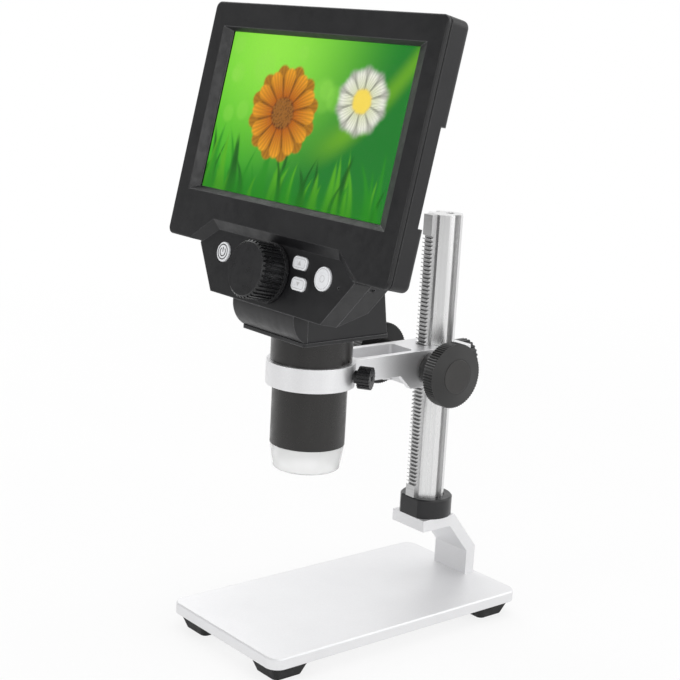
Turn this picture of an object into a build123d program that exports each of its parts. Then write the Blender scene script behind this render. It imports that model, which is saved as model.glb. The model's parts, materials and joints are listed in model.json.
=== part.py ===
from build123d import *
import math
import os

# LCD digital microscope on a rack-and-pinion stand. Millimetres, +Z up, the screen faces -Y.
# The origin is the middle of the base plate, on the surface that the feet stand on.

# ---------------------------------------------------------------- stand
PLATE_WIDTH = 98.0
PLATE_LENGTH = 183.6
PLATE_THICKNESS = 6.3
PLATE_CORNER_RADIUS = 7.5
PLATE_EDGE_CHAMFER = 0.7
FOOT_HEIGHT = 8.9
FOOT_TOP_SIDE = 25.0
FOOT_BOTTOM_SIDE = 18.5
FOOT_INSET = 15.4
FOOT_CORNER_RADIUS = 3.0
BRACKET_WIDTH = 27.4
BRACKET_THICKNESS = 7.0
BRACKET_HEIGHT = 41.3
BRACKET_BEND_BEHIND_COLUMN = 11.6
BRACKET_SLANT_RUN = 19.6
BRACKET_SLANT_DROP = 23.6
BRACKET_SCREW_SPACING = 15.0
BRACKET_SCREW_RADIUS = 2.0
BRACKET_SCREW_LENGTH = 16.0
SCREW_HEAD_RADIUS = 3.8
SCREW_HEAD_HEIGHT = 2.4
HEX_SOCKET = 2.5

COLUMN_Y = 57.0
COLUMN_RADIUS = 10.6
COLUMN_LENGTH = 181.3
COLUMN_BORE_RADIUS = 2.5
COLUMN_BORE_SETBACK = 3.6
COLUMN_FLAT_DEPTH = 0.43
COLUMN_SLOT_MOUTH = 4.6
COLUMN_SLOT_WIDTH = 6.4
COLUMN_SLOT_LIP = 1.2
COLUMN_SLOT_DEPTH = 3.0
COLUMN_BOLT_LENGTH = 20.0
COLUMN_BOLT_HEAD_RADIUS = 4.2
COLUMN_BOLT_HEAD_HEIGHT = 4.0
COLUMN_BOLT_SOCKET = 4.0
COLLAR_RADIUS = 15.5
COLLAR_HEIGHT = 11.7
COLLAR_EDGE = 0.8

# ---------------------------------------------------------------- rack and pinion
GEAR_MODULE = 0.75
PRESSURE_ANGLE = 20.0
PINION_TEETH = 12
RACK_TEETH = 63
RACK_TEETH_BELOW_PINION = 31
RACK_WIDTH = 7.2
RACK_DEPTH = 6.0
RACK_PROUD = 3.1
TOOTH_BACKLASH = 0.12
MESH_CLEARANCE = 0.05
PINION_FACE_WIDTH = 6.6
GEAR_DEDENDUM = 1.25
FLANK_STEPS = 3
SHAFT_RADIUS = 3.0
SHAFT_LENGTH = 66.0

# ---------------------------------------------------------------- carriage, arm and ring
CARRIAGE_RISE = 94.1
CARRIAGE_HEIGHT = 21.6
ARM_HEIGHT = 13.2
ARM_WIDTH = 26.6
ARM_WALL = 3.6
GUSSET_REACH = 39.5
POCKET_END_REACH = 27.0
POCKET_CORNER_RADIUS = 3.0
CARRIAGE_BACK_WALL = 4.4
BARREL_REACH = 94.6
RING_OUTER_RADIUS = 24.8
SLIDE_CLEARANCE = 0.1
RACK_GAP = 0.4
CAVITY_CLEARANCE = 0.6
BUSH_RADIUS = 5.0
BUSH_FLANGE_RADIUS = 6.2
BUSH_FLANGE_THICKNESS = 0.8
RUNNING_CLEARANCE = 0.05
BRAKE_PAD_RADIUS = 4.0
BRAKE_PAD_THICKNESS = 2.6

KNOB_RADIUS = 18.7
KNOB_INNER_FACE_X = 28.0
KNOB_RIM_THICKNESS = 7.2
KNOB_FACE_RISE = 1.4
KNOB_HUB_RADIUS = 9.0
KNOB_CAP_RADIUS = 9.8
KNOB_CAP_THICKNESS = 1.6
KNOB_CAP_PROUD = 0.3
KNOB_SERRATIONS = 72
SERRATION_DEPTH = 0.5
KNOB_GAP = 0.4
RIB_TOP_SHARE = 0.4
RIB_FOOT_SHARE = 0.6

LOCK_KNOB_RADIUS = 10.6
LOCK_KNOB_THICKNESS = 9.0
LOCK_KNOB_FLUTES = 24
LOCK_FLUTE_DEPTH = 0.7
LOCK_KNOB_FACE = 2.0
BRAKE_GAP = 0.2
LOCK_SCREW_RADIUS = 2.5

THUMBSCREW_ANGLE = 33.0
THUMBSCREW_RADIUS = 6.3
THUMBSCREW_HEAD_START = 28.0
THUMBSCREW_HEAD_LENGTH = 7.2
THUMBSCREW_FLUTES = 20
THUMBSCREW_FLUTE_DEPTH = 0.6
THUMBSCREW_SOCKET = 3.0
THUMBSCREW_GAP = 0.8
THUMBSCREW_TIP_GAP = 0.3
THUMBSCREW_THREAD_RADIUS = 2.0
THUMBSCREW_NECK_RADIUS = 3.6

# ---------------------------------------------------------------- head: display housing
SCREEN_TILT = 12.6
DISPLAY_WIDTH = 190.9
DISPLAY_HEIGHT = 134.0
DISPLAY_THICKNESS = 15.7
DISPLAY_AHEAD_OF_BARREL = 33.26
DISPLAY_RISE = 41.13
DISPLAY_CORNER_RADIUS = 4.0
DISPLAY_BACK_FILLET = 3.0
BEZEL_LIP = 2.7
SEAM_CHAMFER = 0.6
HOUSING_WALL = 2.2
SCREEN_WINDOW_WIDTH = 169.0
SCREEN_WINDOW_HEIGHT = 93.0
SCREEN_WINDOW_BOTTOM = 27.2
SCREEN_OPENING_WIDTH = 154.1
SCREEN_OPENING_HEIGHT = 88.0
SCREEN_OPENING_BOTTOM = 30.2
SCREEN_RECESS = 3.0
GLASS_THICKNESS = 0.9
GLASS_MARGIN = 1.6
LCD_WIDTH = 164.9
LCD_HEIGHT = 100.0
LCD_THICKNESS = 3.4
BOARD_THICKNESS = 1.6
MAIN_BOARD_WIDTH = 118.0
MAIN_BOARD_HEIGHT = 70.0
FINGER_RECESS_WIDTH = 20.0
FINGER_RECESS_DEPTH = 4.7
FINGER_RECESS_BOTTOM = 32.2
FINGER_RECESS_TOP = 82.2

# control panel below the screen
PANEL_SETBACK = 4.0
PANEL_WALL = 2.2
PANEL_DROP = 25.6
PANEL_BOTTOM_WIDTH = 97.2
PANEL_WIDEST = 134.4
PANEL_WIDEST_DROP = 1.2
PANEL_TOP_WIDTH = 105.0
PANEL_TOP_RISE = 8.6
NOTCH_BOTTOM_WIDTH = 147.2
NOTCH_TOP_WIDTH = 109.3
NOTCH_RISE = 13.5
CHIN_FRONT_DEPTH = 15.3
CHIN_PASSAGE = 2.0
WIRE_SLOT_WIDTH = 40.0
WIRE_SLOT_HEIGHT = 12.0
WIRE_SLOT_BOTTOM = 6.4
HUMP_DEPTH = 27.1
HUMP_UNDERSIDE_RISE = 10.4
HUMP_TOP_RISE = 25.4
HUMP_SHOULDER_RISE = 11.4
HUMP_TOP_WIDTH = 110.0
SIDE_NOTCH_LENGTH = 3.6
SIDE_NOTCH_WIDTH = 1.6
SIDE_NOTCH_DEPTH = 1.0
SIDE_NOTCH_DROP = 2.8
SIDE_NOTCH_SETBACK = 0.6

# ---------------------------------------------------------------- head: camera body and barrel
BODY_WIDTH = 53.6
BODY_BEHIND_BARREL = 30.5
BODY_TOP_BEHIND_BARREL = 24.6
BODY_BACK_HEIGHT = 41.7
BODY_ROOF_RISE = 46.4
BODY_AHEAD_OF_BARREL = 26.8
NOSE_SEAM_SETBACK = 1.9
NOSE_BULGE = 2.6
BASE_FLANGE_THICKNESS = 2.0
BASE_FLANGE_OVERHANG = 0.7
BARREL_UPPER_RADIUS = 22.6
BARREL_UPPER_LENGTH = 15.1
BARREL_LOWER_RADIUS = 20.9
BARREL_BORE_RADIUS = 19.0
BARREL_LOWER_LENGTH = 46.9
TIP_TOP_RADIUS = 20.9
TIP_BOTTOM_RADIUS = 18.7
TIP_LENGTH = 14.0
TIP_BORE_BOTTOM_RADIUS = 16.0
TIP_BORE_TOP_RADIUS = 17.0
TIP_EDGE = 1.1
TIP_SPIGOT = 2.5
LED_COUNT = 8
LED_RADIUS = 1.6
LED_HEIGHT = 2.0
LED_CIRCLE_RADIUS = 14.0
LED_BOARD_BORE_RADIUS = 10.0
LENS_CELL_LENGTH = 20.0
LENS_CELL_BORE_RADIUS = 8.0
LENS_CELL_DROP = 31.4
LENS_SEAT = 1.0
LENS_THICKNESS = 3.0
SENSOR_BOARD_SIDE = 26.0
SENSOR_SIDE = 12.0
SENSOR_THICKNESS = 2.0
LIGHT_PATH_RADIUS = 11.0
BATTERY_WIDTH = 44.0
BATTERY_THICKNESS = 9.0
BATTERY_HEIGHT = 33.0
BATTERY_BACK_GAP = 4.0

# ---------------------------------------------------------------- head: controls
WHEEL_RADIUS = 15.5
WHEEL_HEIGHT = 17.2
WHEEL_DROP = 7.2
WHEEL_FLUTES = 36
WHEEL_FLUTE_DEPTH = 0.9
WHEEL_EDGE = 1.3
WHEEL_FLANGE_RADIUS = 16.2
WHEEL_FLANGE_HEIGHT = 2.4
WHEEL_GROOVE_DEPTH = 0.5
WHEEL_GROOVE_WIDTH = 0.4
WHEEL_GAP = 0.6
WHEEL_BORE_FLOOR = 4.0
WHEEL_SHAFT_LENGTH = 19.0
WHEEL_BEARING_RADIUS = 6.0
WHEEL_BEARING_LENGTH = 3.0
SIDE_BUTTON_SPACING = 87.2
SIDE_BUTTON_DROP = 2.8
POWER_BUTTON_RADIUS = 5.5
ROUND_BUTTON_RADIUS = 6.3
UP_BUTTON_OFFSET = 23.4
DOWN_BUTTON_OFFSET = 25.6
SMALL_BUTTON_WIDTH = 11.4
SMALL_BUTTON_HEIGHT = 6.9
SMALL_BUTTON_CORNER = 2.6
SMALL_BUTTON_RISE = 2.0
SMALL_BUTTON_SPACING = 10.7
BUTTON_PROUD = 1.1
BUTTON_EDGE = 0.5
BUTTON_FLANGE = 1.0
BUTTON_FLANGE_THICKNESS = 0.8
BUTTON_CLEARANCE = 0.15
BUTTON_TRAVEL = 0.8
SWITCH_GAP = 0.05
SWITCH_SIDE = 5.0
SWITCH_HEIGHT = 1.8
KEY_BOARD_WIDTH = 98.0
KEY_BOARD_HEIGHT = 23.4
KEY_BOARD_BOTTOM = -18.6
KEY_BOSS_RADIUS = 2.5
KEY_BOSS_OFFSET = 34.0
KEY_BOSS_RISE = 3.0
MIC_HOLE_OFFSET = 56.4
MIC_HOLE_DROP = 5.3
MIC_HOLE_RADIUS = 0.6
HOUSING_SCREW_RADIUS = 1.2
HOUSING_SCREW_HEAD_RADIUS = 2.3
HOUSING_SCREW_HEAD_HEIGHT = 1.2
HOUSING_BOSS_RADIUS = 3.2
HOUSING_SCREW_INSET = 6.6
USB_WIDTH = 8.2
USB_HEIGHT = 3.2
USB_LENGTH = 6.0
CARD_SLOT_WIDTH = 12.6
CARD_SLOT_HEIGHT = 2.0
CARD_SLOT_LENGTH = 13.0
PORT_DEPTH = 20.5
PORT_RISE = 5.4

# ---------------------------------------------------------------- worked out
plate_top = FOOT_HEIGHT + PLATE_THICKNESS
bracket_top = plate_top + BRACKET_HEIGHT
column_top = bracket_top + COLUMN_LENGTH
bracket_front_y = COLUMN_Y - BRACKET_WIDTH / 2
bracket_back_y = COLUMN_Y + BRACKET_BEND_BEHIND_COLUMN + BRACKET_SLANT_RUN
column_bore_y = COLUMN_Y + COLUMN_BORE_SETBACK
collar_top = bracket_top + COLLAR_HEIGHT
rack_face_y = COLUMN_Y - COLUMN_RADIUS - RACK_PROUD
tooth_pitch = math.pi * GEAR_MODULE
pinion_pitch_radius = GEAR_MODULE * PINION_TEETH / 2
pinion_tip_radius = pinion_pitch_radius + GEAR_MODULE
pinion_root_radius = pinion_pitch_radius - GEAR_DEDENDUM * GEAR_MODULE
pinion_y = rack_face_y + GEAR_MODULE - pinion_pitch_radius - MESH_CLEARANCE
carriage_mid_z = bracket_top + CARRIAGE_RISE
carriage_bottom = carriage_mid_z - CARRIAGE_HEIGHT / 2
carriage_top = carriage_mid_z + CARRIAGE_HEIGHT / 2
arm_bottom = carriage_top - ARM_HEIGHT
carriage_back_y = COLUMN_Y + COLUMN_RADIUS + CARRIAGE_BACK_WALL
barrel_y = COLUMN_Y - BARREL_REACH
ring_mid_z = carriage_top - ARM_HEIGHT / 2
barrel_bottom = carriage_top - BARREL_LOWER_LENGTH
flange_bottom = carriage_top + BARREL_UPPER_LENGTH
body_bottom_z = flange_bottom + BASE_FLANGE_THICKNESS
body_back_y = barrel_y + BODY_BEHIND_BARREL
body_back_top_y = barrel_y + BODY_TOP_BEHIND_BARREL
body_back_top_z = body_bottom_z + BODY_BACK_HEIGHT
body_front_y = barrel_y - BODY_AHEAD_OF_BARREL
nose_seam_y = body_front_y + NOSE_SEAM_SETBACK
lens_cell_bottom = carriage_top - LENS_CELL_DROP
display_bottom_y = barrel_y - DISPLAY_AHEAD_OF_BARREL
display_bottom_z = body_bottom_z + DISPLAY_RISE
panel_back = PANEL_SETBACK + PANEL_WALL
window_mid_v = SCREEN_WINDOW_BOTTOM + SCREEN_WINDOW_HEIGHT / 2
screen_mid_v = SCREEN_OPENING_BOTTOM + SCREEN_OPENING_HEIGHT / 2
glass_back = SCREEN_RECESS + GLASS_THICKNESS
lcd_back = glass_back + LCD_THICKNESS
button_flange_front = panel_back + BUTTON_CLEARANCE
button_flange_back = button_flange_front + BUTTON_FLANGE_THICKNESS
key_board_front = button_flange_back + BUTTON_TRAVEL + SWITCH_GAP + SWITCH_HEIGHT

# The display frame: local x runs along the screen, y up it, z out of it; depths are negative z.
tilt_sin = math.sin(math.radians(SCREEN_TILT))
tilt_cos = math.cos(math.radians(SCREEN_TILT))
display_plane = Plane(
    origin=(0, display_bottom_y, display_bottom_z),
    x_dir=(1, 0, 0),
    z_dir=(0, -tilt_cos, tilt_sin),
)


# ---------------------------------------------------------------- helpers
def span_box(x0, x1, y0, y1, z0, z1):
    """A box between two corners."""
    size = (x1 - x0, y1 - y0, z1 - z0)
    return Pos((x0 + x1) / 2, (y0 + y1) / 2, (z0 + z1) / 2) * Box(*size)


def disc(x, y, z0, z1, radius):
    """An upright cylinder from z0 to z1."""
    return Pos(x, y, (z0 + z1) / 2) * Cylinder(radius, z1 - z0)


def prism(points, z0, z1):
    """A polygon in XY extruded from z0 to z1."""
    face = make_face(Polyline(*points, close=True))
    return Pos(0, 0, z0) * extrude(face, z1 - z0)


def side_prism(points, half_width):
    """A polygon of (y, z) points extruded along X to both sides."""
    face = make_face(Plane.YZ * Polyline(*points, close=True))
    return extrude(face, half_width, both=True)


def display_point(depth, rise):
    """World (y, z) of a point at a depth behind the screen face and a rise above its lower edge."""
    y = display_bottom_y + rise * tilt_sin + depth * tilt_cos
    z = display_bottom_z + rise * tilt_cos - depth * tilt_sin
    return y, z


def on_display(shape):
    """Places a shape made in the display frame."""
    return display_plane.location * shape


def along_x(shape, y, z):
    """Turns a shape made about +Z to lie about +X at (y, z)."""
    return Pos(0, y, z) * Rot(0, 90, 0) * shape


def serrated_disc(radius, depth, count, z0, z1):
    """A disc with pointed serrations round its rim."""
    points = []
    for i in range(2 * count):
        angle = math.pi * i / count
        reach = radius if i % 2 == 0 else radius - depth
        points.append((reach * math.cos(angle), reach * math.sin(angle)))
    return prism(points, z0, z1)


def ribbed_disc(radius, depth, count, z0, z1):
    """A disc with slant-sided grooves between flat-topped ribs along its rim."""
    pitch = 2 * math.pi / count
    top = RIB_TOP_SHARE * pitch / 2
    foot = RIB_FOOT_SHARE * pitch / 2
    points = []
    for i in range(count):
        middle = i * pitch
        corners = ((-top, radius), (top, radius), (foot, radius - depth), (pitch - foot, radius - depth))
        for angle, reach in corners:
            points.append((reach * math.cos(middle + angle), reach * math.sin(middle + angle)))
    return prism(points, z0, z1)


def hex_socket(across, depth):
    """A hexagonal hole that opens at z = 0 and goes down."""
    return Pos(0, 0, -depth) * extrude(RegularPolygon(across / 2, 6, major_radius=False), depth + 1)


def socket_screw(head_radius, head_height, shank_radius, length, socket):
    """A socket head screw: the head on z = 0 and above, the shank below."""
    head = disc(0, 0, 0, head_height, head_radius)
    head -= Pos(0, 0, head_height) * hex_socket(socket, head_height / 2)
    return head + disc(0, 0, -length, 0, shank_radius)


# ---------------------------------------------------------------- stand
def make_base_plate():
    plate = extrude(RectangleRounded(PLATE_WIDTH, PLATE_LENGTH, PLATE_CORNER_RADIUS), PLATE_THICKNESS)
    plate = chamfer(plate.faces().sort_by(Axis.Z)[-1].edges(), PLATE_EDGE_CHAMFER)
    plate = Pos(0, 0, FOOT_HEIGHT) * plate
    return plate - bracket_screw_holes()


def bracket_screw_places():
    y = bracket_back_y - BRACKET_THICKNESS / 2
    return [(side * BRACKET_SCREW_SPACING / 2, y) for side in (-1, 1)]


def bracket_screw_holes():
    """The screws' holes: a counterbore in the plate's underside and a tapped hole in the leg."""
    holes = []
    for x, y in bracket_screw_places():
        seat = FOOT_HEIGHT + SCREW_HEAD_HEIGHT
        holes.append(disc(x, y, FOOT_HEIGHT - 1, seat, SCREW_HEAD_RADIUS + 0.2))
        holes.append(disc(x, y, seat, seat + BRACKET_SCREW_LENGTH, BRACKET_SCREW_RADIUS))
    return holes


def make_bracket_screws():
    screws = []
    for x, y in bracket_screw_places():
        screw = socket_screw(
            SCREW_HEAD_RADIUS, SCREW_HEAD_HEIGHT, BRACKET_SCREW_RADIUS, BRACKET_SCREW_LENGTH, HEX_SOCKET
        )
        screws.append(Pos(x, y, FOOT_HEIGHT + SCREW_HEAD_HEIGHT) * Rot(180, 0, 0) * screw)
    return Compound(screws)


def make_foot(side_x, side_y):
    top = Pos(0, 0, FOOT_HEIGHT) * RectangleRounded(FOOT_TOP_SIDE, FOOT_TOP_SIDE, FOOT_CORNER_RADIUS)
    bottom = RectangleRounded(FOOT_BOTTOM_SIDE, FOOT_BOTTOM_SIDE, FOOT_CORNER_RADIUS)
    x = side_x * (PLATE_WIDTH / 2 - FOOT_INSET)
    y = side_y * (PLATE_LENGTH / 2 - FOOT_INSET)
    return Pos(x, y, 0) * loft([bottom, top])


def make_riser_bracket():
    bend_y = COLUMN_Y + BRACKET_BEND_BEHIND_COLUMN
    slant = math.atan2(BRACKET_SLANT_DROP, BRACKET_SLANT_RUN)
    shift = BRACKET_THICKNESS * math.tan(slant / 2)
    rise = BRACKET_THICKNESS * math.tan((math.pi / 2 - slant) / 2)
    slant_end_z = bracket_top - BRACKET_SLANT_DROP
    profile = [
        (bracket_front_y, bracket_top),
        (bend_y, bracket_top),
        (bracket_back_y, slant_end_z),
        (bracket_back_y, plate_top),
        (bracket_back_y - BRACKET_THICKNESS, plate_top),
        (bracket_back_y - BRACKET_THICKNESS, slant_end_z - rise),
        (bend_y - shift, bracket_top - BRACKET_THICKNESS),
        (bracket_front_y, bracket_top - BRACKET_THICKNESS),
    ]
    bracket = side_prism(profile, BRACKET_WIDTH / 2)
    bracket -= disc(0, column_bore_y, plate_top, bracket_top + 1, COLUMN_BORE_RADIUS)
    return bracket - bracket_screw_holes()


def column_slot():
    """The undercut slot along the column's +X side."""
    floor = COLUMN_RADIUS - COLUMN_SLOT_DEPTH
    lip = COLUMN_RADIUS - COLUMN_SLOT_LIP
    mouth = COLUMN_SLOT_MOUTH / 2
    pocket = COLUMN_SLOT_WIDTH / 2
    slot = span_box(floor, COLUMN_RADIUS + 1, -mouth, mouth, 0, COLUMN_LENGTH)
    return slot + span_box(floor, lip, -pocket, pocket, 0, COLUMN_LENGTH)


def make_column():
    column = disc(0, 0, 0, COLUMN_LENGTH, COLUMN_RADIUS)
    flats = COLUMN_RADIUS - COLUMN_FLAT_DEPTH
    column &= Pos(0, 0, COLUMN_LENGTH / 2) * Rot(0, 0, 45) * Box(2 * flats, 2 * flats, COLUMN_LENGTH)
    for turn in (0, 180):
        column -= Rot(0, 0, turn) * column_slot()
    column = Pos(0, COLUMN_Y, bracket_top) * column
    half = RACK_WIDTH / 2
    back_y = rack_face_y + RACK_DEPTH
    column -= span_box(-half, half, rack_face_y, back_y, bracket_top - 1, column_top + 1)
    return column - disc(0, column_bore_y, bracket_top - 1, column_top + 1, COLUMN_BORE_RADIUS)


def make_rack():
    back_y = rack_face_y + RACK_DEPTH
    half = RACK_WIDTH / 2
    root_y = rack_face_y + (1 + GEAR_DEDENDUM) * GEAR_MODULE
    pitch_y = rack_face_y + GEAR_MODULE
    lean = math.tan(math.radians(PRESSURE_ANGLE))
    gap_half = tooth_pitch / 4 + TOOTH_BACKLASH / 2
    tip_half = gap_half + GEAR_MODULE * lean
    root_half = gap_half - (root_y - pitch_y) * lean
    first_gap = carriage_mid_z - (RACK_TEETH_BELOW_PINION + 0.5) * tooth_pitch
    points = [(back_y, collar_top), (rack_face_y, collar_top)]
    for i in range(RACK_TEETH + 1):
        z = first_gap + i * tooth_pitch
        points += [(rack_face_y, z - tip_half), (root_y, z - root_half)]
        points += [(root_y, z + root_half), (rack_face_y, z + tip_half)]
    points += [(rack_face_y, column_top), (back_y, column_top)]
    return side_prism(points, half)


def make_collar():
    """The ring round the column's foot, with a flat in front that is flush with the rack."""
    collar = disc(0, COLUMN_Y, bracket_top, collar_top, COLLAR_RADIUS)
    front = COLUMN_Y - COLLAR_RADIUS - 1
    collar -= span_box(-COLLAR_RADIUS, COLLAR_RADIUS, front, rack_face_y, bracket_top, collar_top)
    collar = chamfer(collar.faces().sort_by(Axis.Z)[-1].edges(), COLLAR_EDGE)
    return collar - disc(0, COLUMN_Y, bracket_top - 1, collar_top + 1, COLUMN_RADIUS)


def make_column_bolt():
    bolt = socket_screw(
        COLUMN_BOLT_HEAD_RADIUS,
        COLUMN_BOLT_HEAD_HEIGHT,
        COLUMN_BORE_RADIUS,
        COLUMN_BOLT_LENGTH,
        COLUMN_BOLT_SOCKET,
    )
    return Pos(0, column_bore_y, bracket_top - BRACKET_THICKNESS) * Rot(180, 0, 0) * bolt


# ---------------------------------------------------------------- carriage
def make_arm():
    gusset_drop = arm_bottom - carriage_bottom
    gusset_start_y = COLUMN_Y - GUSSET_REACH
    profile = [
        (barrel_y, carriage_top),
        (carriage_back_y, carriage_top),
        (carriage_back_y, carriage_bottom),
        (gusset_start_y + gusset_drop, carriage_bottom),
        (gusset_start_y, arm_bottom),
        (barrel_y, arm_bottom),
    ]
    arm = side_prism(profile, ARM_WIDTH / 2)
    arm += disc(0, barrel_y, arm_bottom, carriage_top, RING_OUTER_RADIUS)
    pocket_half = ARM_WIDTH / 2 - ARM_WALL
    pocket_start = barrel_y + RING_OUTER_RADIUS
    pocket_end = COLUMN_Y - POCKET_END_REACH
    pocket = span_box(
        -pocket_half, pocket_half, pocket_start, pocket_end, carriage_bottom - 1, carriage_top + 1
    )
    arm -= fillet(pocket.edges().filter_by(Axis.Z), POCKET_CORNER_RADIUS)
    arm -= disc(0, barrel_y, arm_bottom - 1, carriage_top + 1, BARREL_LOWER_RADIUS + RUNNING_CLEARANCE)
    arm -= disc(0, COLUMN_Y, carriage_bottom - 1, carriage_top + 1, COLUMN_RADIUS + SLIDE_CLEARANCE)
    rack_half = RACK_WIDTH / 2 + RACK_GAP
    front = rack_face_y - RACK_GAP
    arm -= span_box(-rack_half, rack_half, front, COLUMN_Y, carriage_bottom - 1, carriage_top + 1)
    cavity = Cylinder(pinion_tip_radius + CAVITY_CLEARANCE, PINION_FACE_WIDTH + 2 * CAVITY_CLEARANCE)
    arm -= along_x(cavity, pinion_y, carriage_mid_z)
    arm -= along_x(Cylinder(BUSH_RADIUS, 2 * ARM_WIDTH), pinion_y, carriage_mid_z)
    arm -= lock_axis(disc(0, 0, COLUMN_RADIUS, 2 * COLUMN_RADIUS, LOCK_SCREW_RADIUS + RUNNING_CLEARANCE))
    arm -= lock_axis(brake_pad_blank())
    hole_radius = THUMBSCREW_THREAD_RADIUS + RUNNING_CLEARANCE
    hole = disc(0, 0, BARREL_LOWER_RADIUS - 1, RING_OUTER_RADIUS + 1, hole_radius)
    return arm - thumbscrew_axis(hole)


def lock_axis(shape):
    """Turns a shape made about +Z to lie behind the column, with z measured from the column's axis."""
    return Pos(0, COLUMN_Y, carriage_mid_z) * Rot(-90, 0, 0) * shape


def thumbscrew_axis(shape):
    """Turns a shape made about +Z to point out of the ring, with z measured from the ring's axis."""
    return Pos(0, barrel_y, ring_mid_z) * Rot(0, 0, THUMBSCREW_ANGLE) * Rot(0, 90, 0) * shape


def brake_pad_blank():
    start = COLUMN_RADIUS - 0.5
    return disc(0, 0, start, COLUMN_RADIUS + SLIDE_CLEARANCE + BRAKE_PAD_THICKNESS, BRAKE_PAD_RADIUS)


def make_brake_pad():
    bore = disc(0, COLUMN_Y, carriage_bottom, carriage_top, COLUMN_RADIUS + SLIDE_CLEARANCE)
    return lock_axis(brake_pad_blank()) - bore


def make_bush(side):
    start = PINION_FACE_WIDTH / 2 + CAVITY_CLEARANCE
    end = ARM_WIDTH / 2
    bush = disc(0, 0, start, end, BUSH_RADIUS)
    bush += disc(0, 0, end, end + BUSH_FLANGE_THICKNESS, BUSH_FLANGE_RADIUS)
    bush -= disc(0, 0, start - 1, end + 2, SHAFT_RADIUS + RUNNING_CLEARANCE)
    return along_x(Rot(0, 0 if side > 0 else 180, 0) * bush, pinion_y, carriage_mid_z)


def pinion_profile():
    """The pinion's outline: involute flanks, with a gap centred on +X."""
    base_radius = pinion_pitch_radius * math.cos(math.radians(PRESSURE_ANGLE))
    involute = math.tan(math.radians(PRESSURE_ANGLE)) - math.radians(PRESSURE_ANGLE)
    half_tooth = (tooth_pitch / 2 - TOOTH_BACKLASH) / (2 * pinion_pitch_radius) + involute
    flank = [(pinion_root_radius, half_tooth)]
    for i in range(FLANK_STEPS + 1):
        radius = base_radius + (pinion_tip_radius - base_radius) * i / FLANK_STEPS
        roll = math.sqrt(max(0.0, (radius / base_radius) ** 2 - 1))
        flank.append((radius, half_tooth - (roll - math.atan(roll))))
    points = []
    for tooth in range(PINION_TEETH):
        middle = (tooth + 0.5) * 2 * math.pi / PINION_TEETH
        for radius, half in flank:
            points.append((radius * math.cos(middle - half), radius * math.sin(middle - half)))
        for radius, half in reversed(flank):
            points.append((radius * math.cos(middle + half), radius * math.sin(middle + half)))
    return points


def make_pinion_shaft():
    gear = prism(pinion_profile(), -PINION_FACE_WIDTH / 2, PINION_FACE_WIDTH / 2)
    gear = Rot(0, 0, 90) * gear
    shaft = gear + Cylinder(SHAFT_RADIUS, SHAFT_LENGTH)
    return along_x(shaft, pinion_y, carriage_mid_z)


def make_knob(side):
    rim_end = KNOB_INNER_FACE_X + KNOB_RIM_THICKNESS
    rim = serrated_disc(KNOB_RADIUS, SERRATION_DEPTH, KNOB_SERRATIONS, KNOB_INNER_FACE_X, rim_end)
    face = Pos(0, 0, rim_end + KNOB_FACE_RISE / 2) * Cone(
        KNOB_RADIUS - SERRATION_DEPTH - 0.2, KNOB_CAP_RADIUS + 0.8, KNOB_FACE_RISE
    )
    hub_start = ARM_WIDTH / 2 + BUSH_FLANGE_THICKNESS + KNOB_GAP
    knob = rim + face + disc(0, 0, hub_start, KNOB_INNER_FACE_X, KNOB_HUB_RADIUS)
    knob -= disc(0, 0, hub_start - 1, SHAFT_LENGTH / 2, SHAFT_RADIUS)
    face_end = rim_end + KNOB_FACE_RISE
    cap_seat = face_end + KNOB_CAP_PROUD - KNOB_CAP_THICKNESS
    knob -= disc(0, 0, cap_seat, face_end + 1, KNOB_CAP_RADIUS)
    return along_x(Rot(0, 0 if side > 0 else 180, 0) * knob, pinion_y, carriage_mid_z)


def make_knob_cap(side):
    end = KNOB_INNER_FACE_X + KNOB_RIM_THICKNESS + KNOB_FACE_RISE + KNOB_CAP_PROUD
    cap = disc(0, 0, end - KNOB_CAP_THICKNESS, end, KNOB_CAP_RADIUS)
    cap = fillet(cap.faces().sort_by(Axis.Z)[-1].edges(), KNOB_CAP_PROUD * 0.9)
    return along_x(Rot(0, 0 if side > 0 else 180, 0) * cap, pinion_y, carriage_mid_z)


def make_lock_knob():
    start = carriage_back_y - COLUMN_Y + KNOB_GAP
    end = start + LOCK_KNOB_THICKNESS
    knob = ribbed_disc(LOCK_KNOB_RADIUS, LOCK_FLUTE_DEPTH, LOCK_KNOB_FLUTES, start, end)
    knob -= disc(0, 0, start - 1, end - LOCK_KNOB_FACE, LOCK_SCREW_RADIUS)
    return lock_axis(knob)


def make_lock_screw():
    start = COLUMN_RADIUS + SLIDE_CLEARANCE + BRAKE_PAD_THICKNESS + BRAKE_GAP
    end = carriage_back_y - COLUMN_Y + KNOB_GAP + LOCK_KNOB_THICKNESS - LOCK_KNOB_FACE
    return lock_axis(disc(0, 0, start, end, LOCK_SCREW_RADIUS))


def make_thumbscrew():
    end = THUMBSCREW_HEAD_START + THUMBSCREW_HEAD_LENGTH
    head = ribbed_disc(
        THUMBSCREW_RADIUS, THUMBSCREW_FLUTE_DEPTH, THUMBSCREW_FLUTES, THUMBSCREW_HEAD_START, end
    )
    head -= Pos(0, 0, end) * hex_socket(THUMBSCREW_SOCKET, THUMBSCREW_SOCKET)
    neck_start = RING_OUTER_RADIUS + THUMBSCREW_GAP
    neck = disc(0, 0, neck_start, THUMBSCREW_HEAD_START, THUMBSCREW_NECK_RADIUS)
    thread = disc(0, 0, BARREL_LOWER_RADIUS + THUMBSCREW_TIP_GAP, neck_start, THUMBSCREW_THREAD_RADIUS)
    return thumbscrew_axis(head + neck + thread)


# ---------------------------------------------------------------- head: display housing
def tapered_cut(outer, inner, depth):
    """A cutter that narrows from the outer outline at the face to the inner one at the depth."""
    back = make_face(Polyline(*inner, close=True))
    front = make_face(Polyline(*outer, close=True))
    return loft([Pos(0, 0, -depth) * back, front])


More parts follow.
